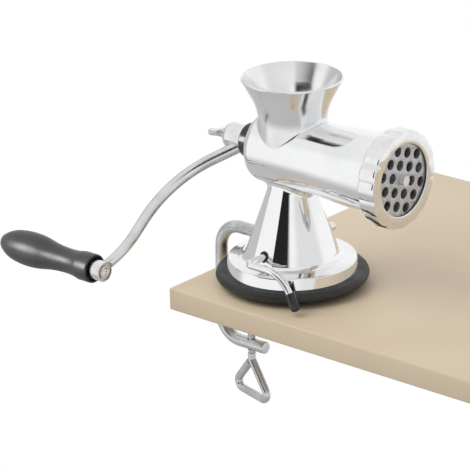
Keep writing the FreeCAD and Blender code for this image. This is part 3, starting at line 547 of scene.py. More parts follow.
class Pattern(Enum):
    """Shared pattern, kept as a node group that puts out one mask or height."""

    HAZE = "haze"
    LATHE = "lathe_lines"
    GRIT = "grit"
    HAIRLINES = "hairlines"
    EDGES = "edges"

    def group(self) -> bpy.types.ShaderNodeTree:
        """Node group of the pattern, made when it is first asked for.

        Returns:
            The group.
        """
        tree = bpy.data.node_groups.get(self.value)
        if tree is None:
            tree = bpy.data.node_groups.new(self.value, "ShaderNodeTree")
            tree.interface.new_socket("Vector", in_out="INPUT", socket_type="NodeSocketVector")
            tree.interface.new_socket("Size", in_out="INPUT", socket_type="NodeSocketFloat")
            tree.interface.new_socket("Value", in_out="OUTPUT", socket_type="NodeSocketFloat")
            wiring = Wiring(tree)
            given = wiring.add("NodeGroupInput", {})
            made = getattr(self, "_" + self.value)(wiring, given.outputs["Vector"], given.outputs["Size"])
            wiring.add("NodeGroupOutput", {"Value": made})
        return tree

    def _noise(
        self, wiring: Wiring, vector: bpy.types.NodeSocket, size: bpy.types.NodeSocket, detail: float
    ) -> bpy.types.NodeSocket:
        """Noise with features of a size in metres."""
        inputs = {"Vector": vector, "Scale": wiring.math("DIVIDE", 1.0, size), "Detail": detail}
        return wiring.add("ShaderNodeTexNoise", inputs).outputs[0]

    def _haze(
        self, wiring: Wiring, vector: bpy.types.NodeSocket, size: bpy.types.NodeSocket
    ) -> bpy.types.NodeSocket:
        """Soft patches, as a wiped surface has."""
        return wiring.spread(self._noise(wiring, vector, size, 3.0), *HAZE_SPAN, 0.0, 1.0)

    def _lathe_lines(
        self, wiring: Wiring, vector: bpy.types.NodeSocket, size: bpy.types.NodeSocket
    ) -> bpy.types.NodeSocket:
        """Lines that depend only on the place along X and the distance from it, as a lathe leaves.

        Args:
            wiring: Node tree to add to.
            vector: Place on the surface.
            size: Size of the pattern in metres.

        Returns:
            The pattern's value.
        """
        along, off_axis = wiring.about_x(vector)
        place = wiring.add("ShaderNodeCombineXYZ", {"X": along, "Y": off_axis})
        return self._noise(wiring, place.outputs["Vector"], size, 2.0)

    def _grit(
        self, wiring: Wiring, vector: bpy.types.NodeSocket, size: bpy.types.NodeSocket
    ) -> bpy.types.NodeSocket:
        """Fine grain of a cast, ground or moulded surface."""
        return self._noise(wiring, vector, size, 4.0)

    def _hairlines(
        self, wiring: Wiring, vector: bpy.types.NodeSocket, size: bpy.types.NodeSocket
    ) -> bpy.types.NodeSocket:
        """Sparse fine scratches in two directions.

        Args:
            wiring: Node tree to add to.
            vector: Place on the surface.
            size: Size of the pattern in metres.

        Returns:
            The pattern's value.
        """
        marks = []
        for turn in SCRATCH_TURNS:
            inputs = {"Vector": vector, "Rotation": turn, "Scale": SCRATCH_STRETCH}
            place = wiring.add("ShaderNodeMapping", inputs).outputs["Vector"]
            marks.append(wiring.spread(self._noise(wiring, place, size, 1.0), *SCRATCH_SPAN, 0.0, 1.0))
        return wiring.math("MAXIMUM", *marks)

    def _edges(
        self, wiring: Wiring, vector: bpy.types.NodeSocket, size: bpy.types.NodeSocket
    ) -> bpy.types.NodeSocket:
        """Rubbed edges, from how far a rounded normal leans from the true one.

        Args:
            wiring: Node tree to add to.
            vector: Place on the surface.
            size: Size of the pattern in metres.

        Returns:
            The pattern's value.
        """
        rounded = wiring.add("ShaderNodeBevel", {"Radius": size}, samples=4).outputs["Normal"]
        true = wiring.add("ShaderNodeNewGeometry", {}).outputs["Normal"]
        lean = wiring.add("ShaderNodeVectorMath", {0: rounded, 1: true}, operation="DOT_PRODUCT")
        patchy = self._noise(wiring, vector, wiring.math("MULTIPLY", size, RUBBED_PATCHES), 2.0)
        rubbed = wiring.spread(lean.outputs["Value"], *RUBBED_LEAN, 1.0, 0.0)
        return wiring.math("MULTIPLY", rubbed, wiring.spread(patchy, *RUBBED_SPAN, 0.0, 1.0))


@dataclass(frozen=True)
class Finish:
    """Surface of one material: two colours that drift, two roughnesses, and the marks it carries.

    Sizes and depths of marks are in metres, and a mark whose size, depth or share is 0 is left out. Past
    ground_x the surface is ground bright, and within bore_r of its axis it is left dark as turned.
    """

    slot: str
    colour: Colour
    drift: Colour
    metallic: float
    clean: float
    hazed: float
    haze_size: float = 0.02
    line_pitch: float = 0.0004
    line_depth: float = 0.0
    grit_size: float = 0.0004
    grit_depth: float = 0.0
    scratched: float = 0.0
    scratch_size: float = 0.0012
    edge_size: float = 0.0
    edge_colour: Colour = (0.5, 0.5, 0.5)
    # X past which the colour is ground bright; short of it the given colour stays, which on the auger is
    # painted shade.
    ground_and_shade_x: float = 0.0
    ground_colour: Colour = (0.82, 0.822, 0.825)
    bore_r: float = 0.0
    # Dark grey painted on as shade within bore_r of the axis.
    recess_shade_colour: Colour = (0.10, 0.10, 0.10)
    specular: float = 0.5

    def material(self, label: str, along: Vector, centre: Vector) -> bpy.types.Material:
        """Material for one piece.

        Args:
            label: Name of the piece.
            along: Direction of the line that the piece was turned or polished about.
            centre: Point on that line.

        Returns:
            The material.
        """
        material = bpy.data.materials.new(f"{self.slot}.{label}")
        material.use_nodes = True
        wiring = Wiring(material.node_tree)
        shader = material.node_tree.nodes["Principled BSDF"]
        turn = along.rotation_difference(Vector((1, 0, 0)))
        place = wiring.add("ShaderNodeTexCoord", {}).outputs["Object"]
        inputs = {"Vector": place, "Location": -(turn @ centre), "Rotation": turn.to_euler()}
        centred = wiring.add("ShaderNodeMapping", inputs).outputs["Vector"]

        def pattern(kind: Pattern, vector: bpy.types.NodeSocket, size: float) -> bpy.types.NodeSocket:
            """Value of a shared pattern on this piece.

            Args:
                kind: The pattern.
                vector: Place on the surface.
                size: Size of the pattern in metres.

            Returns:
                The pattern's value.
            """
            node = wiring.add("ShaderNodeGroup", {}, node_tree=kind.group())
            wiring.tree.links.new(vector, node.inputs["Vector"])
            node.inputs["Size"].default_value = size
            return node.outputs["Value"]

        haze = pattern(Pattern.HAZE, place, self.haze_size)
        colour = self._mixed(wiring, haze, (*self.colour, 1), (*self.drift, 1))
        roughness = wiring.spread(haze, 0.0, 1.0, self.clean, self.hazed)
        if self.scratched:
            marks = pattern(Pattern.HAIRLINES, place, self.scratch_size)
            roughness = wiring.math("MULTIPLY_ADD", marks, self.scratched, roughness)
        if self.edge_size:
            rubbed = pattern(Pattern.EDGES, place, self.edge_size)
            colour = self._mixed(wiring, rubbed, colour, (*self.edge_colour, 1))
        # Past this X the colour turns bright as a real ground finish; short of it the given colour stays,
        # which on the auger is painted shade.
        if self.ground_and_shade_x:
            x = wiring.add("ShaderNodeSeparateXYZ", {"Vector": place}).outputs["X"]
            ground = wiring.spread(x, self.ground_and_shade_x - self.grit_size, self.ground_and_shade_x, 0.0, 1.0)
            colour = self._mixed(wiring, ground, colour, (*self.ground_colour, 1))
        # Painted shade: within bore_r of the axis the colour goes to a dark grey that stands in for the
        # shade in a recess, here the nut's inner wall.
        if self.bore_r:
            _, off_axis = wiring.about_x(centred)
            inside = wiring.spread(off_axis, self.bore_r, self.bore_r + self.line_pitch, 1.0, 0.0)
            colour = self._mixed(wiring, inside, colour, (*self.recess_shade_colour, 1))
        normal = None
        for kind, vector, size, depth in (
            (Pattern.LATHE, centred, self.line_pitch, self.line_depth),
            (Pattern.GRIT, place, self.grit_size, self.grit_depth),
        ):
            if depth:
                relief = {"Height": pattern(kind, vector, size), "Strength": 1.0, "Distance": depth}
                if normal:
                    relief["Normal"] = normal
                normal = wiring.add("ShaderNodeBump", relief).outputs["Normal"]
        wiring.tree.links.new(colour, shader.inputs["Base Color"])
        wiring.tree.links.new(roughness, shader.inputs["Roughness"])
        if normal:
            wiring.tree.links.new(normal, shader.inputs["Normal"])
        shader.inputs["Metallic"].default_value = self.metallic
        shader.inputs["Specular IOR Level"].default_value = self.specular
        return material

    @staticmethod
    def _mixed(wiring: Wiring, share: object, first: object, second: object) -> bpy.types.NodeSocket:
        """Colour between two colours.

        Args:
            wiring: Node tree to add to.
            share: How much of the second colour.
            first: First colour or its socket.
            second: Second colour or its socket.

        Returns:
            The mixed colour.
        """
        inputs = {"Factor": share, "A": first, "B": second}
        node = wiring.tree.nodes.new("ShaderNodeMix")
        node.data_type = "RGBA"
        for name, value in inputs.items():
            socket = next(spot for spot in node.inputs if spot.name == name and spot.enabled)
            if isinstance(value, bpy.types.NodeSocket):
                wiring.tree.links.new(value, socket)
            else:
                socket.default_value = value
        return next(spot for spot in node.outputs if spot.enabled)


POLISHED = Finish(
    "polished_steel", (0.90, 0.905, 0.91), (0.86, 0.868, 0.875), 1.0, 0.045, 0.085, haze_size=0.03,
    line_pitch=0.0007, line_depth=2.5e-7, scratched=0.05, scratch_size=0.002,
)
SOFT_POLISH = Finish(
    "polished_steel", (0.88, 0.884, 0.888), (0.82, 0.826, 0.832), 1.0, 0.15, 0.21, haze_size=0.025,
    line_pitch=0.0006, line_depth=8e-7, scratched=0.04, scratch_size=0.0015,
)
NUT_STEEL = Finish(
    "satin_steel", (0.87, 0.872, 0.874), (0.81, 0.814, 0.818), 1.0, 0.06, 0.11, haze_size=0.01,
    line_pitch=0.0003, line_depth=6e-7, scratched=0.05,
)
ARM_STEEL = Finish(
    "arm_steel", (0.76, 0.764, 0.768), (0.68, 0.684, 0.69), 1.0, 0.17, 0.24, haze_size=0.015,
    scratched=0.06,
)
ROD_STEEL = Finish(
    "rod_steel", (0.88, 0.884, 0.888), (0.80, 0.805, 0.812), 1.0, 0.14, 0.22, haze_size=0.012,
    line_pitch=0.0003, line_depth=8e-7, scratched=0.08,
)
CLAMP_STEEL = Finish(
    "rod_steel", (0.66, 0.664, 0.668), (0.57, 0.574, 0.58), 1.0, 0.26, 0.35, haze_size=0.010,
    line_pitch=0.0004, line_depth=4e-7, scratched=0.06,
)
SATIN_STEEL = Finish(
    "satin_steel", (0.85, 0.853, 0.856), (0.77, 0.774, 0.78), 1.0, 0.17, 0.25, haze_size=0.008,
    line_pitch=0.00022, line_depth=2e-6, scratched=0.06,
)
PLATE_STEEL = Finish(
    "plate_steel", (0.58, 0.597, 0.63), (0.49, 0.505, 0.533), 1.0, 0.42, 0.55, haze_size=0.0016,
    line_pitch=0.0005, line_depth=4e-6, grit_size=0.0007, grit_depth=2.2e-5,
)
# Painted shade: the knife and the auger sit inside the barrel, and this dark colour stands in for the shade
# there.
SHADED_CAST_STEEL = Finish(
    "cast_steel", (0.20, 0.20, 0.202), (0.15, 0.15, 0.152), 1.0, 0.42, 0.56, haze_size=0.01,
    grit_size=0.0008, grit_depth=1.2e-5, scratched=0.1,
)
INNER_STEEL = Finish(
    "inner_steel", (0.62, 0.62, 0.615), (0.52, 0.52, 0.515), 1.0, 0.28, 0.42, haze_size=0.006,
    line_pitch=0.0004, line_depth=4e-6,
)
RUBBER = Finish(
    "black_rubber", (0.013, 0.013, 0.0135), (0.019, 0.019, 0.0195), 0.0, 0.42, 0.56, haze_size=0.012,
    line_pitch=0.0011, line_depth=6e-6, grit_size=0.0005, grit_depth=7e-6, edge_size=0.0008,
    edge_colour=(0.035, 0.035, 0.036),
)
BLACK_PLASTIC = Finish(
    "black_plastic", (0.010, 0.010, 0.0105), (0.015, 0.015, 0.0155), 0.0, 0.16, 0.30, haze_size=0.006,
    grit_size=0.0006, grit_depth=2.5e-6, edge_size=0.0005, edge_colour=(0.026, 0.026, 0.027),
)
GRIP_PLASTIC = Finish(
    "grip_plastic", (0.022, 0.022, 0.0225), (0.028, 0.028, 0.0285), 0.0, 0.34, 0.40, haze_size=0.02,
    line_pitch=0.0006, line_depth=2e-6, grit_size=0.0005, grit_depth=6e-6,
)


# Frame


@dataclass(frozen=True)
class Frame:
    """The packed model, and what the sub-assemblies ask of it."""

    nodes: dict[str, bpy.types.Object]
    joints: dict[str, dict]

    def pivot(self, joint: str) -> Vector:
        """Point on a hinge's line."""
        return Vector(self.joints[joint]["pos_m"])

    def line(self, joint: str) -> Vector:
        """Point where a hinge along X crosses the plane of the origin."""
        return self.pivot(joint) * Vector((0, 1, 1))

    def dress(
        self, finish: Finish, *names: str, along: Vector | None = None, centre: Vector | None = None
    ) -> None:
        """Give CAD nodes a finish.

        Args:
            finish: Finish to give.
            names: Nodes that get it.
            along: Direction of the line they were polished about, X when left out.
            centre: Point on that line, the barrel's axis when left out.
        """
        for name in names:
            material = finish.material(name, along or Axis.X.along, centre or self.line("crank_turn"))
            for slot in self.nodes[name].material_slots:
                slot.material = material
            LOG.info("%s keeps its solid and is finished as %s", name, finish.slot)


def fit(
    piece: bpy.types.Object, finish: Finish, along: Vector, centre: Vector, body: str, *nodes: str
) -> bpy.types.Object:
    """Finish a piece and hang it on a body in place of CAD nodes.

    Args:
        piece: Modelled piece.
        finish: Its finish.
        along: Direction of the line that it was turned about.
        centre: Point on that line.
        body: Body that it moves with.
        nodes: Nodes that it stands for.

    Returns:
        The piece.
    """
    piece.data.materials.clear()
    piece.data.materials.append(finish.material(piece.name, along, centre))
    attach(piece, body)
    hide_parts(*nodes)
    LOG.info("%s rides on %s for %s", piece.name, body, ", ".join(nodes))
    return piece


# Sub-assemblies


@dataclass
class Stand:
    """Polished body on its rubber foot, with the bushes that carry the moving pieces."""

    frame: Frame
    flange_r: float = 0.0518
    seat_z: float = 0.013
    seat_width: float = 0.0048
    rim_r: float = 0.004
    rim_z: float = 0.0084
    undercut: float = 0.0107
    contact_width: float = 0.0075
    boss_r: float = 0.0145
    boss_edge: float = 0.0003
    hollow_z: float = 0.0055
    dish_share: float = 0.62
    skin: float = 0.003
    mould_line: float = 0.00015
    bush_bore: float = 0.00808
    bush_sleeve_r: float = 0.011
    bush_edge: float = 0.0008
    lever_bore: float = 0.00283
    lever_bush_depth: float = 0.0045
    lever_bush_edge: float = 0.0004

    def build(self) -> None:
        """Build and dress every piece of the stand."""
        self.build_foot()
        self.build_rear_bush()
        self.build_lever_bushes()
        up = Axis.Z.along
        self.frame.dress(POLISHED, "barrel")
        self.frame.dress(POLISHED, "pedestal", along=up, centre=Vector())
        low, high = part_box("hopper")
        self.frame.dress(SOFT_POLISH, "hopper", along=up, centre=(low + high) / 2)
        self.frame.dress(INNER_STEEL, "stem_guide", "cup_stem", along=up, centre=Vector())
        self.frame.dress(INNER_STEEL, "plate_key_pin", "thrust_washer", "clamp_socket")

    def build_foot(self) -> None:
        """Build the rubber foot: a round rim that stands clear of the table, a dished skin and a boss."""
        core_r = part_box("suction_cup")[1].x - self.rim_r
        contact_r = core_r - self.undercut
        slope = math.atan2(self.rim_z, self.undercut)
        slope -= math.asin(self.rim_r / math.hypot(self.rim_z, self.undercut))
        boss_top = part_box("cup_stem")[0].z
        seat = Corner(self.seat_z, self.flange_r - self.seat_width)
        hollow = Corner(self.hollow_z, self.boss_r / 2)
        contact = Corner(0, contact_r - self.contact_width)
        dish = Corner(self.hollow_z * self.dish_share, (contact.radius + self.boss_r) / 2)
        corners = [
            Corner(self.hollow_z, 0),
            hollow,
            *bowed(hollow, dish, contact),
            Corner(0, contact_r, self.boss_edge),
            *self.rim(core_r, slope),
            Corner(self.seat_z, self.flange_r),
            seat,
            *bowed(
                seat,
                Corner(dish.at + self.skin, dish.radius),
                Corner(self.hollow_z + self.skin, self.boss_r),
            ),
            Corner(boss_top, self.boss_r, self.boss_edge),
            Corner(boss_top, 0),
        ]
        foot = turned("suction_foot", Axis.Z, Vector(), corners, steps=160)
        fit(foot, RUBBER, Axis.Z.along, Vector(), "stand", "suction_cup")

    def rim(self, core_r: float, slope: float, count: int = 26) -> list[Corner]:
        """Round of the foot's rim, from its underside to its top, with a fine mould line half way.

        Args:
            core_r: Radius of the circle that the rim's round is struck about.
            slope: Lean of the underside that the round goes on from.
            count: How many corners the round gets.

        Returns:
            The rim's corners.
        """
        corners = []
        for step in range(count + 1):
            turn = slope - math.pi / 2 + (math.pi - slope) * step / count
            radius = self.rim_r - (0.0 if abs(turn) < math.pi / count / 2 else self.mould_line)
            corners.append(Corner(self.rim_z + radius * math.sin(turn), core_r + radius * math.cos(turn)))
        return corners

    def build_rear_bush(self) -> None:
        """Build the black bush with its flange and its sleeve in the barrel's rear wall."""
        low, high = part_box("rear_bush")
        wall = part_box("barrel")[0].x
        radius = (high.z - low.z) / 2
        centre = self.frame.line("crank_turn")
        corners = [
            Corner(low.x, self.bush_bore, self.bush_edge / 2),
            Corner(low.x, radius, self.bush_edge),
            Corner(wall, radius, self.bush_edge / 2),
            Corner(wall, self.bush_sleeve_r),
            Corner(high.x, self.bush_sleeve_r, self.bush_edge / 2),
            Corner(high.x, self.bush_bore),
        ]
        bush = turned("rear_bush_moulded", Axis.X, centre, corners, ring=True)
        fit(bush, BLACK_PLASTIC, Axis.X.along, centre, "stand", "rear_bush")

    def build_lever_bushes(self) -> None:
        """Build the two bushes of the lever shaft."""
        low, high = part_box("lever_bushes")
        radius = (high.z - low.z) / 2
        centre = self.frame.pivot("lever_turn") * Vector((1, 0, 1))
        inner = low.y + self.lever_bush_depth
        corners = [
            Corner(inner, self.lever_bore),
            Corner(inner, radius, self.lever_bush_edge),
            Corner(low.y, radius, self.lever_bush_edge),
            Corner(low.y, self.lever_bore, self.lever_bush_edge),
        ]
        near = turned("lever_bush_near", Axis.Y, centre, corners, steps=64, ring=True)
        far = copied(near, about(centre, Axis.Z.along, HALF_TURN))
        pair = join("lever_bush_pair", [near, far])
        fit(pair, BLACK_PLASTIC, Axis.Y.along, centre, "stand", "lever_bushes")


@dataclass
class Outlet:
    """Scalloped ring nut and the plate that it holds."""

    frame: Frame
    lobes: int = 16
    steps_per_lobe: int = 20
    groove_depth: float = 0.0012
    groove_sharpness: float = 2.0
    bore_r: float = 0.03408
    opening_r: float = 0.028
    lip_gap: float = 0.00005
    edge: float = 0.0016
    hole_r: float = 0.004
    hole_pitch: float = 0.012
    hole_turn: float = -19.0
    rings: int = 2
    rim: float = 0.0005
    pin_hole_r: float = 0.00383
    notch_width: float = 0.0036
    notch_depth: float = 0.0023
    notch_length: float = 0.02
    plate_edge: float = 0.00035

    def build(self) -> None:
        """Build the nut and the plate."""
        self.build_nut()
        self.build_plate()

    def build_nut(self) -> None:
        """Build the ring nut: turned, then drawn in at each groove."""
        low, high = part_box("ring_nut")
        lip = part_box("grinding_plate")[1].x + self.lip_gap
        radius = (high.z - low.z) / 2
        centre = self.frame.line("crank_turn")
        corners = [
            Corner(low.x, self.bore_r),
            Corner(low.x, radius, self.edge),
            Corner(high.x, radius, self.edge),
            Corner(high.x, self.opening_r, self.edge / 2),
            Corner(lip, self.opening_r),
            Corner(lip, self.bore_r),
        ]
        steps = self.lobes * self.steps_per_lobe
        nut = turned("ring_nut_scalloped", Axis.X, centre, corners, steps=steps, ring=True)
        outer = radius - self.edge - self.groove_depth
        edit(nut)

        def off_groove(spot: Vector) -> int:
            """Steps round the nut from a place to the middle of its nearest groove."""
            turn = math.atan2(spot.y - centre.y, spot.z - centre.z) / math.tau * self.lobes
            return round(abs(turn % 1 - 0.5) * self.steps_per_lobe)

        for step in range(self.steps_per_lobe // 2 + 1):
            share = (1 - 2 * step / self.steps_per_lobe) ** self.groove_sharpness
            drawn = 1 - self.groove_depth / radius * share
            pick(nut, lambda spot: (spot - centre).yz.length > outer and off_groove(spot) == step)
            bpy.ops.transform.resize(value=(1, drawn, drawn), center_override=centre)
        close_mesh(nut)
        # The nut's inner wall, within opening_r of its axis, is painted dark as shade.
        fit(nut, replace(NUT_STEEL, bore_r=self.opening_r), Axis.X.along, centre, "outlet_nut", "ring_nut")

    def build_plate(self) -> None:
        """Build the plate: holes in a hexagonal pattern, a pin hole and a key notch, with eased rims."""
        low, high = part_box("grinding_plate")
        centre = self.frame.line("crank_turn")
        radius = (high.y - low.y) / 2
        past = Axis.X.along * (high.x - low.x)
        back = centre + Axis.X.along * low.x
        plate = bar("grinding_plate_drilled", radius, back, back + past, sides=128)
        hole = bar("hole", self.hole_r, back - past, back + 2 * past, sides=40)
        tools = [copied(hole, Matrix.Translation(place)) for place in self.hole_places(radius)]
        bpy.data.objects.remove(hole)
        tools.append(bar("pin_hole", self.pin_hole_r, back - past, back + 2 * past, sides=40))
        cut(plate, join("holes", tools))
        deselect()
        bpy.ops.mesh.primitive_cube_add(size=1)
        notch = named("notch")
        top = back + past / 2 + Axis.Z.along * radius
        size = (self.notch_length, self.notch_width, 2 * self.notch_depth, 1)
        seat(notch, Matrix.Translation(top) @ Matrix.Diagonal(size))
        cut(plate, notch)
        soften(plate, self.plate_edge, segments=3)
        close_mesh(plate)
        fit(plate, PLATE_STEEL, Axis.X.along, centre, "outlet_plate", "grinding_plate")

    def hole_places(self, radius: float) -> list[Vector]:
        """Middles of the plate's holes, measured from its own middle.

        Args:
            radius: Radius of the plate.

        Returns:
            One place for each hole.
        """
        places = []
        turn = Matrix.Rotation(math.radians(self.hole_turn), 3, "X")
        for row in range(-self.rings, self.rings + 1):
            count = 2 * self.rings + 1 - abs(row)
            for i in range(count):
                across = (i - (count - 1) / 2) * self.hole_pitch
                place = turn @ Vector((0, across, row * self.hole_pitch * math.sqrt(0.75)))
                if MERGE < place.length <= radius - self.hole_r - self.rim:
                    places.append(place)
        return places


@dataclass
class Drive:
    """Auger with its knife, and the crank from its hub to the grip's spindle."""

    frame: Frame
    hub_round: float = 0.006
    hub_edge: float = 0.0007
    bore_edge: float = 0.0004
    tail_r: float = 0.0082
    screw_hole_r: float = 0.00308
    hub_end_wall: float = 0.0037
    pin_r: float = 0.0025
    pin_gap: float = 0.00005
    pin_edge: float = 0.0004
    boss_back_edge: float = 0.0004
    boss_edge: float = 0.0006
    boss_ring_r: float = 0.0061
    boss_ring_width: float = 0.0014
    boss_ring_depth: float = 0.0018
    brim: float = 0.0005
    brim_step: float = 0.0011
    brim_edge: float = 0.0003
    dome_reach: float = 0.75
    dome_share: float = 0.5

    def build(self) -> None:
        """Build and dress every piece of the drive."""
        self.build_hub()
        self.build_boss()
        self.build_spindle()
        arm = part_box("crank_arm")
        self.frame.dress(ARM_STEEL, "crank_arm", along=(arm[1] - arm[0]).normalized(), centre=arm[0])
        # Knife and auger are painted dark as shade inside the barrel; only the auger's end past the plate
        # is ground bright.
        self.frame.dress(SHADED_CAST_STEEL, "knife")
        self.frame.dress(replace(SHADED_CAST_STEEL, ground_and_shade_x=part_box("grinding_plate")[1].x), "auger")
        self.frame.dress(INNER_STEEL, "spindle_nut", centre=self.frame.line("grip_spin"))

    def build_hub(self) -> None:
        """Build the hub on the auger's tail, well rounded at its rear."""
        low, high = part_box("crank_hub")
        centre = self.frame.line("crank_turn")
        radius = (high.z - low.z) / 2
        tail_end = low.x + self.hub_end_wall
        corners = [
            Corner(low.x, self.screw_hole_r),
            Corner(low.x, radius, self.hub_round),
            Corner(high.x, radius, self.hub_edge),
            Corner(high.x, self.tail_r, self.bore_edge),
            Corner(tail_end, self.tail_r),
            Corner(tail_end, self.screw_hole_r),
        ]
        hub = turned("crank_hub_turned", Axis.X, centre, corners, ring=True)
        fit(hub, SATIN_STEEL, Axis.X.along, centre, "drive", "crank_hub")

    def build_boss(self) -> None:
        """Build the sleeve at the arm's end, with a turned ring in its face."""
        low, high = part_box("grip_boss")
        centre = self.frame.line("grip_spin")
        radius = (high.z - low.z) / 2
        face = high.x
        ring = self.boss_ring_r
        floor = face - self.boss_ring_depth
        bore = self.pin_r + self.pin_gap
        corners = [
            Corner(low.x, bore),
            Corner(low.x, radius, self.boss_back_edge),
            Corner(face, radius, self.boss_edge),
            Corner(face, ring + self.boss_ring_width / 2),
            Corner(floor, ring + self.boss_ring_width / 3),
            Corner(floor, ring - self.boss_ring_width / 3),
            Corner(face, ring - self.boss_ring_width / 2),
            Corner(face, bore),
        ]
        boss = turned("grip_boss_turned", Axis.X, centre, corners, ring=True)
        fit(boss, SATIN_STEEL, Axis.X.along, centre, "drive", "grip_boss")

    def build_spindle(self) -> None:
        """Build the spindle, with its end riveted over to a brim and a dome."""
        low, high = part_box("grip_spindle")
        centre = self.frame.line("grip_spin")
        radius = (high.z - low.z) / 2
        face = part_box("grip_boss")[1].x
        brim = face + self.brim
        inner = radius - self.brim_step
        corners = [
            Corner(low.x, 0),
            Corner(low.x, self.pin_r, self.pin_edge),
            Corner(face, self.pin_r),
            Corner(face, radius),
            Corner(brim, radius, self.brim_edge),
            Corner(brim, inner),
            *bowed(
                Corner(brim, inner),
                Corner(brim + (high.x - brim) * self.dome_reach, inner * self.dome_share),
                Corner(high.x, 0),
                count=8,
            ),
        ]
        spindle = turned("grip_spindle_riveted", Axis.X, centre, corners, steps=64)
        fit(spindle, SATIN_STEEL, Axis.X.along, centre, "drive", "grip_spindle")


@dataclass
class Handle:
    """Turned grip and the plug in its far end."""

    frame: Frame
    front_r: float = 0.0115
    front_edge: float = 0.0012
    collar_length: float = 0.0125
    waist_r: float = 0.00975
    waist_at: float = 0.027
    turn_share: float = 0.585
    belly_to_end: float = 0.0296
    shoulder_to_end: float = 0.0146
    end_r: float = 0.0062
    end_reach: float = 0.7071
    end_share: float = 0.58
    recess_r: float = 0.010
    recess: float = 0.0043
    recess_edge: float = 0.0004
    bore_r: float = 0.00258
    pocket_r: float = 0.0043
    pocket: float = 0.013
    plug_edge: float = 0.0007

    def build(self) -> None:
        """Build the grip and its plug."""
        self.build_grip()
        self.build_plug()

    def build_grip(self) -> None:
        """Build the grip: a collar, a waist and a belly that rounds off to a blunt end."""
        low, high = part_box("grip")
        centre = self.frame.line("grip_spin")
        face, far = high.x, low.x
        belly = Corner(far + self.belly_to_end, (high.z - low.z) / 2)
        collar = Corner(face - self.collar_length, self.front_r)
        waist = Corner(face - self.waist_at, self.waist_r)
        turn = Corner(
            waist.at + (belly.at - waist.at) * self.turn_share,
            waist.radius + (belly.radius - waist.radius) * self.turn_share,
        )
        rise = belly.radius - turn.radius
        curve = (rise ** 2 + (belly.at - turn.at) ** 2) / (2 * rise)
        drop = curve - math.sqrt(curve ** 2 - (self.belly_to_end - self.shoulder_to_end) ** 2)
        shoulder = Corner(far + self.shoulder_to_end, belly.radius - drop)
        end = Corner(far, self.end_r)
        blunt = Corner(
            shoulder.at + (end.at - shoulder.at) * self.end_reach,
            shoulder.radius + (end.radius - shoulder.radius) * self.end_share,
        )
        recess = face - self.recess
        pocket = far + self.pocket
        corners = [
            Corner(recess, self.bore_r),
            Corner(recess, self.recess_r),
            Corner(face, self.recess_r, self.recess_edge),
            Corner(face, self.front_r, self.front_edge),
            *levelled(waist, collar)[::-1],
            *levelled(waist, turn)[1:],
            *bowed(turn, belly, shoulder, count=28),
            *bowed(shoulder, blunt, end, count=18),
            Corner(far, self.pocket_r),
            Corner(pocket, self.pocket_r),
            Corner(pocket, self.bore_r),
        ]
        grip = turned("grip_turned", Axis.X, centre, corners, steps=128, ring=True)
        fit(grip, GRIP_PLASTIC, Axis.X.along, centre, "hand_grip", "grip")

    def build_plug(self) -> None:
        """Build the plug in the grip's far end."""
        low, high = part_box("grip_end_cap")
        centre = self.frame.line("grip_spin")
        radius = (high.z - low.z) / 2
        corners = [
            Corner(low.x, 0),
            Corner(low.x, radius, self.plug_edge),
            Corner(high.x, radius),
            Corner(high.x, 0),
        ]
        plug = turned("grip_plug", Axis.X, centre, corners, steps=64)
        fit(plug, BLACK_PLASTIC, Axis.X.along, centre, "hand_grip", "grip_end_cap")


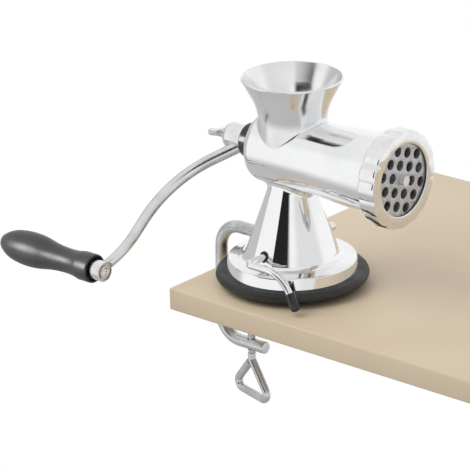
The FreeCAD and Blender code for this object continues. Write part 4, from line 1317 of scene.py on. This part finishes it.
@dataclass
class WingScrew:
    """Cast wing screw that holds the crank on, with its washer."""

    frame: Frame
    thread_r: float = 0.003
    thread_core: float = 0.0025
    thread_pitch: float = 0.001
    bore_gap: float = 0.00008
    washer_edge: float = 0.0004
    washer_inner_edge: float = 0.0002
    hub_r: float = 0.0039
    hub_length: float = 0.006
    hub_edge: float = 0.001
    span: float = 0.0142
    tip_r: float = 0.0032
    thick: float = 0.0058
    root: float = 0.002
    turn: float = -17.0
    grain: float = 0.0004
    relax_share: float = 0.5
    relax_rounds: int = 5
    crease: float = 75.0

    def build(self) -> None:
        """Build the washer and the screw."""
        centre = self.frame.line("crank_turn")
        low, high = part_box("wing_washer")
        radius = (high.z - low.z) / 2
        bore = self.thread_r + self.bore_gap
        corners = [
            Corner(low.x, bore),
            Corner(low.x, radius, self.washer_edge),
            Corner(high.x, radius, self.washer_inner_edge),
            Corner(high.x, bore),
        ]
        washer = turned("wing_washer_turned", Axis.X, centre, corners, steps=64, ring=True)
        fit(washer, SATIN_STEEL, Axis.X.along, centre, "wing_seat", "wing_washer")
        screw_low, screw_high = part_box("wing_screw")
        head = self.build_head(centre, low.x, screw_low.x)
        shank = threaded("shank", self.thread_core, self.thread_r, self.thread_pitch, screw_high.x - low.x)
        seat(shank, standing(centre + Axis.X.along * low.x, Axis.X.along))
        screw = join("wing_screw_cast", [head, shank])
        fit(screw, SATIN_STEEL, Axis.X.along, centre, "wing", "wing_screw")

    def build_head(self, centre: Vector, start: float, end: float) -> bpy.types.Object:
        """Build the head: a hub and two wings, melted into one casting.

        Args:
            centre: Point on the screw's axis.
            start: Where the head starts along X, at the washer.
            end: Where the wings end along X.

        Returns:
            The head.
        """
        hub = turned(
            "hub",
            Axis.X,
            centre,
            [
                Corner(start - self.hub_length, 0),
                Corner(start - self.hub_length, self.hub_r, self.hub_edge),
                Corner(start, self.hub_r),
                Corner(start, 0),
            ],
            steps=64,
        )
        tip_x = end + self.tip_r
        tip_y = self.span - self.tip_r
        deselect()
        bpy.ops.mesh.primitive_uv_sphere_add(segments=32, ring_count=16, radius=self.tip_r)
        wing = named("wing")
        flat = Matrix.Diagonal((1, 1, self.thick / 2 / self.tip_r, 1))
        seat(wing, Matrix.Translation(centre + Vector((tip_x, tip_y, 0))) @ flat)
        deselect()
        bpy.ops.mesh.primitive_cube_add(size=1)
        root = named("root")
        middle = centre + Vector((start - (self.root + self.hub_length) / 2, self.hub_r / 2, 0))
        size = (self.hub_length - self.root, self.hub_r, self.thick, 1)
        seat(root, Matrix.Translation(middle) @ Matrix.Diagonal(size))
        wing = join("wing", [wing, root])
        edit(wing)
        bpy.ops.mesh.convex_hull()
        take(wing)
        other = copied(wing, about(centre, Axis.X.along, HALF_TURN))
        head = join("head", [hub, wing, other])
        melt = head.modifiers.new("melt", "REMESH")
        melt.mode = "VOXEL"
        melt.voxel_size = self.grain
        apply(head, melt)
        relax = head.modifiers.new("relax", "SMOOTH")
        relax.factor = self.relax_share
        relax.iterations = self.relax_rounds
        apply(head, relax)
        seat(head, about(centre, Axis.X.along, self.turn))
        close_mesh(head, math.radians(self.crease))
        return head


@dataclass
class LockLever:
    """Bent lever of the suction lock, with its black tip and its end cap."""

    frame: Frame
    rod_r: float = 0.00275
    fit_gap: float = 0.00005
    tip_r: float = 0.0039
    tip_length: float = 0.015
    tip_over: float = 0.0026
    tip_nose: float = 0.0032
    tip_edge: float = 0.0007
    tip_bore_edge: float = 0.0003
    nose_share: float = 0.62
    cap_edge: float = 0.0004
    cap_bore_edge: float = 0.0002
    drop: float = 0.012
    end_z: float = 0.0065

    def build(self) -> None:
        """Build the tip and the end cap, and dress the rod and its eccentric."""
        shaft = self.frame.pivot("lever_turn")
        self.frame.dress(ROD_STEEL, "lever_rod", along=Axis.Y.along, centre=shaft)
        self.frame.dress(INNER_STEEL, "lever_cam", along=Axis.Y.along, centre=shaft)
        near_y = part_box("lever_rod")[0].y + self.rod_r
        run = Vector((self.drop, 0, self.end_z - shaft.z))
        end = Vector((self.tip_end(run.normalized()), near_y, self.end_z))
        foot = end - run.normalized() * (self.tip_length - self.tip_over)
        bore = self.rod_r + self.fit_gap
        deep = self.tip_length - self.tip_over
        corners = [
            Corner(deep, 0),
            Corner(deep, bore),
            Corner(0, bore, self.tip_bore_edge),
            Corner(0, self.tip_r, self.tip_edge),
            Corner(self.tip_length, self.tip_r, self.tip_nose),
            Corner(self.tip_length, 0),
        ]
        tip = turned("lever_tip_moulded", Axis.Z, Vector(), corners, steps=64)
        seat(tip, standing(foot, run.normalized()))
        fit(tip, BLACK_PLASTIC, run.normalized(), foot, "lock_lever", "lever_tip")
        self.build_cap(shaft)

    def tip_end(self, ahead: Vector) -> float:
        """Where the rod's end is along X, from the tip's box."""
        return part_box("lever_tip")[1].x - self.tip_over * ahead.x - self.tip_r * self.nose_share

    def build_cap(self, shaft: Vector) -> None:
        """Build the rounded cap on the shaft's far end.

        Args:
            shaft: Point on the shaft's line.
        """
        low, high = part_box("lever_end_cap")
        radius = (high.z - low.z) / 2
        centre = shaft * Vector((1, 0, 1))
        bore = self.rod_r + self.fit_gap
        deep = high.y - radius
        corners = [
            Corner(deep, 0),
            Corner(deep, bore),
            Corner(low.y, bore, self.cap_bore_edge),
            Corner(low.y, radius, self.cap_edge),
            Corner(deep, radius),
            *bowed(
                Corner(deep, radius),
                Corner(deep + radius * math.sqrt(0.5), radius * math.sqrt(0.5)),
                Corner(high.y, 0),
            ),
        ]
        cap = turned("lever_cap_turned", Axis.Y, centre, corners, steps=64)
        fit(cap, SATIN_STEEL, Axis.Y.along, centre, "lock_lever", "lever_end_cap")


@dataclass
class TableClamp:
    """Bent rod of the table clamp, with its screw and its pad."""

    frame: Frame
    rod_r: float = 0.005
    rod_ease: float = 0.0007
    leg_x: float = -0.0727
    lean: float = 0.0028
    arm_over: float = 0.015
    top_bend: float = 0.020
    low_bend: float = 0.019
    screw_r: float = 0.0033
    screw_core: float = 0.0027
    screw_pitch: float = 0.002
    gap: float = 0.00008
    loop_height: float = 0.030
    loop_width: float = 0.052
    loop_bend: float = 0.0055
    loop_turn: float = -15.0
    neck: float = 0.006
    lap: float = 0.0005
    free_gap: float = 0.0003
    pad_thick: float = 0.0035
    pad_hub_wall: float = 0.0019
    pad_socket: float = 0.0055
    pad_edge: float = 0.0007
    pad_root: float = 0.001
    pad_hub_edge: float = 0.0006
    pad_socket_edge: float = 0.0003
    loop_ease: float = 0.0005

    def build(self) -> None:
        """Build the rod, the pad and the screw."""
        axis = self.frame.pivot("screw_turn") * Vector((1, 1, 0))
        self.build_rod(axis)
        self.build_pad(axis)
        self.build_screw(axis)

    def build_rod(self, axis: Vector) -> None:
        """Build the bent rod with eased ends and a hole for the screw.

        Args:
            axis: Point where the screw's line meets the table's top.
        """
        low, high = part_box("clamp_rod")
        upper, lower = high.z - self.rod_r, low.z + self.rod_r
        route = [
            Vector((high.x, 0, upper)),
            Vector((self.leg_x, 0, upper)),
            Vector((self.leg_x - self.lean, 0, lower)),
            Vector((axis.x + self.arm_over, 0, lower)),
        ]
        rod = bent_rod("clamp_rod_bent", self.rod_r, route, (self.top_bend, self.low_bend), self.rod_ease)
        reach = Axis.Z.along * 2 * self.rod_r
        middle = axis + Axis.Z.along * lower
        cut(rod, bar("screw_hole", self.screw_r + self.gap, middle - reach, middle + reach))
        close_mesh(rod)
        fit(rod, CLAMP_STEEL, Axis.X.along, route[-1], "clamp", "clamp_rod")

    def build_pad(self, axis: Vector) -> None:
        """Build the pad with its socket.

        Args:
            axis: Point where the screw's line meets the table's top.
        """
        low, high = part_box("clamp_pad")
        radius = (high.x - low.x) / 2
        under = high.z - self.pad_thick
        hub = self.screw_r + self.pad_hub_wall
        socket = self.screw_r + self.gap
        corners = [
            Corner(high.z, 0),
            Corner(high.z, radius, self.pad_edge),
            Corner(under, radius, self.pad_edge),
            Corner(under, hub, self.pad_root),
            Corner(low.z, hub, self.pad_hub_edge),
            Corner(low.z, socket, self.pad_socket_edge),
            Corner(low.z + self.pad_socket, socket),
            Corner(low.z + self.pad_socket, 0),
        ]
        pad = turned("clamp_pad_turned", Axis.Z, axis, corners, steps=80)
        fit(pad, SATIN_STEEL, Axis.Z.along, axis, "pad", "clamp_pad")

    def build_screw(self, axis: Vector) -> None:
        """Build the screw: a threaded shank that is bent on into a three-cornered loop.

        Args:
            axis: Point where the screw's line meets the table's top.
        """
        low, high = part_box("clamp_screw")
        half = self.loop_width / 2
        bottom = low.z + self.screw_r
        top = bottom + self.loop_height
        lean = math.atan2(half, self.loop_height)
        free = (self.screw_r * (1 + math.cos(2 * lean)) + self.free_gap) / math.sin(2 * lean)
        neck = top + self.neck
        places = [
            (0, neck),
            (0, top),
            (half, bottom),
            (-half, bottom),
            (-free * math.sin(lean), top - free * math.cos(lean)),
        ]
        route = [axis + Vector((out, 0, z)) for out, z in places]
        loop = bent_rod("loop", self.screw_r, route, (self.loop_bend,) * 3, self.loop_ease)
        shank = threaded("shank", self.screw_core, self.screw_r, self.screw_pitch, high.z - neck + self.lap)
        seat(shank, Matrix.Translation(axis + Axis.Z.along * (neck - self.lap)))
        screw = join("clamp_screw_bent", [loop, shank])
        seat(screw, about(axis, Axis.Z.along, self.loop_turn))
        fit(screw, CLAMP_STEEL, Axis.Z.along, axis, "handle_screw", "clamp_screw")


# Studio


@dataclass(frozen=True)
class Screen:
    """Soft-edged patch of the room that the polished metal mirrors. Angles are in degrees."""

    azimuth: float
    height: float
    half_width: float
    half_height: float
    soft: float
    level: float


@dataclass(frozen=True)
class Lamp:
    """Square soft lamp that faces the origin: its direction in degrees, distance, width and power."""

    name: str
    azimuth: float
    height: float
    reach: float
    width: float
    power: float

    def build(self) -> bpy.types.Object:
        """Add the lamp to the scene.

        Returns:
            The lamp.
        """
        azimuth, height = math.radians(self.azimuth), math.radians(self.height)
        level = math.cos(height)
        way = Vector((level * math.cos(azimuth), level * math.sin(azimuth), math.sin(height)))
        deselect()
        bpy.ops.object.light_add(
            type="AREA", location=way * self.reach, rotation=way.to_track_quat("Z", "Y").to_euler()
        )
        lamp = named(self.name)
        lamp.data.size = self.width
        lamp.data.energy = self.power
        return lamp


@dataclass
class Studio:
    """Pale table, soft light and the camera."""

    table_low: Vector
    table_high: Vector
    camera_place: Vector
    camera_back: Vector
    camera_right: Vector
    camera_roll: float
    lens: float = 232.6
    table_edge: float = 0.0015
    table_colour: Colour = (0.62, 0.51, 0.37)
    table_drift: Colour = (0.59, 0.48, 0.345)
    key: Lamp = Lamp("key", -122, 50, 1.2, 0.9, 7.0)
    strip: Lamp = Lamp("strip", -131, 16, 1.2, 0.5, 12.0)
    black_pieces: tuple[str, ...] = ("rear_bush_moulded", "grip_turned", "grip_plug", "lever_tip_moulded")
    cards: tuple[Screen, ...] = (
        Screen(0, 64, 200, 34, 16, 0.90),
        Screen(0, -64, 200, 38, 22, 0.54),
        Screen(180, 0, 32, 28, 22, 0.58),
        Screen(-5, 14, 34, 22, 22, 0.80),
        Screen(-86, 18, 27, 17.5, 10, 0.02),
    )

    def build(self) -> None:
        """Build the table, the light and the camera."""
        bpy.context.scene.view_settings.view_transform = "Standard"
        self.build_table()
        self.build_world()
        self.build_lamps()
        self.build_camera()

    def build_table(self) -> None:
        """Build the table top that the foot stands on and the clamp holds."""
        deselect()
        bpy.ops.mesh.primitive_cube_add(size=1)
        table = named("table")
        middle = (self.table_low + self.table_high) / 2
        size = self.table_high - self.table_low
        seat(table, Matrix.Translation(middle) @ Matrix.Diagonal((*size, 1)))
        soften(table, self.table_edge)
        close_mesh(table)
        finish = Finish(
            "table", self.table_colour, self.table_drift, 0.0, 0.5, 0.6, haze_size=0.2,
            grit_size=0.002, grit_depth=2e-5,
        )
        table.data.materials.append(finish.material("top", Axis.X.along, Vector()))

    def build_world(self) -> None:
        """Build the room: white to the camera, with soft patches that show in the grinder's metal."""
        world = bpy.data.worlds.new("studio")
        bpy.context.scene.world = world
        world.use_nodes = True
        wiring = Wiring(world.node_tree)
        look = wiring.add("ShaderNodeTexCoord", {}).outputs["Generated"]
        parts = wiring.add("ShaderNodeSeparateXYZ", {"Vector": look})
        azimuth = wiring.math("DEGREES", wiring.math("ARCTAN2", parts.outputs["Y"], parts.outputs["X"]))
        height = wiring.math("DEGREES", wiring.math("ARCSINE", parts.outputs["Z"]))
        path = wiring.add("ShaderNodeLightPath", {}).outputs

        def within(screen: Screen) -> bpy.types.NodeSocket:
            """Share of a screen in what is seen in a direction.

            Args:
                screen: The screen.

            Returns:
                1 inside it, 0 outside it, and a share on its soft edge.
            """
            shares = []
            for angle, middle, half in (
                (azimuth, screen.azimuth, screen.half_width),
                (height, screen.height, screen.half_height),
            ):
                aside = wiring.math("WRAP", wiring.math("SUBTRACT", angle, middle), HALF_TURN, -HALF_TURN)
                off = wiring.math("ABSOLUTE", aside)
                shares.append(wiring.spread(off, half - screen.soft / 2, half + screen.soft / 2, 1.0, 0.0))
            return wiring.math("MULTIPLY", *shares)

        level: object = 1.0
        for card in self.cards:
            level = self.swayed(wiring, level, within(card), card.level)
        level = self.swayed(wiring, level, path["Is Camera Ray"], 1.0)
        tone = wiring.add("ShaderNodeCombineColor", {"Red": level, "Green": level, "Blue": level})
        wiring.tree.links.new(tone.outputs["Color"], wiring.tree.nodes["Background"].inputs["Color"])

    @staticmethod
    def swayed(
        wiring: Wiring, level: object, share: bpy.types.NodeSocket, to_level: object
    ) -> bpy.types.NodeSocket:
        """Brightness that goes from one level to another by a share."""
        return wiring.math("MULTIPLY_ADD", share, wiring.math("SUBTRACT", to_level, level), level)

    def build_lamps(self) -> None:
        """Build the key, which metal doesn't mirror, and the strip, which lights only the black pieces."""
        self.key.build().visible_glossy = False
        lit = bpy.data.collections.new("black pieces")
        for name in self.black_pieces:
            lit.objects.link(bpy.data.objects[name])
        self.strip.build().light_linking.receiver_collection = lit

    def build_camera(self) -> None:
        """Build the camera at the photograph's viewing angle."""
        deselect()
        bpy.ops.object.camera_add()
        camera = bpy.context.object
        back = self.camera_back.normalized()
        right = (self.camera_right - back * back.dot(self.camera_right)).normalized()
        right = Matrix.Rotation(self.camera_roll, 3, back) @ right
        turn = Matrix((right, back.cross(right), back)).transposed()
        camera.matrix_world = Matrix.Translation(self.camera_place) @ turn.to_4x4()
        camera.data.lens = self.lens
        camera.data.sensor_width = SENSOR_WIDTH
        bpy.context.scene.camera = camera


def main() -> None:
    """Build the grinder and its studio, and write down both boxes."""
    logging.basicConfig(level=logging.INFO, format="%(message)s")
    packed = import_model()
    frame = Frame(packed["nodes"], {joint["name"]: joint for joint in packed["joints"]})
    for assembly in (Stand, Outlet, Drive, Handle, WingScrew, LockLever, TableClamp):
        LOG.info("%s", assembly.__doc__)
        assembly(frame).build()
    Studio(
        table_low=Vector((-0.0675, -0.070, -0.018)),
        table_high=Vector((0.9, 0.265, 0.0)),
        camera_place=Vector((1.41897, -1.6816, 0.89307)),
        camera_back=Vector((0.61547, -0.70031, 0.36160)),
        camera_right=Vector((0.75114, 0.66014, 0)),
        camera_roll=-0.0246,
    ).build()


if __name__ == "__main__":
    main()
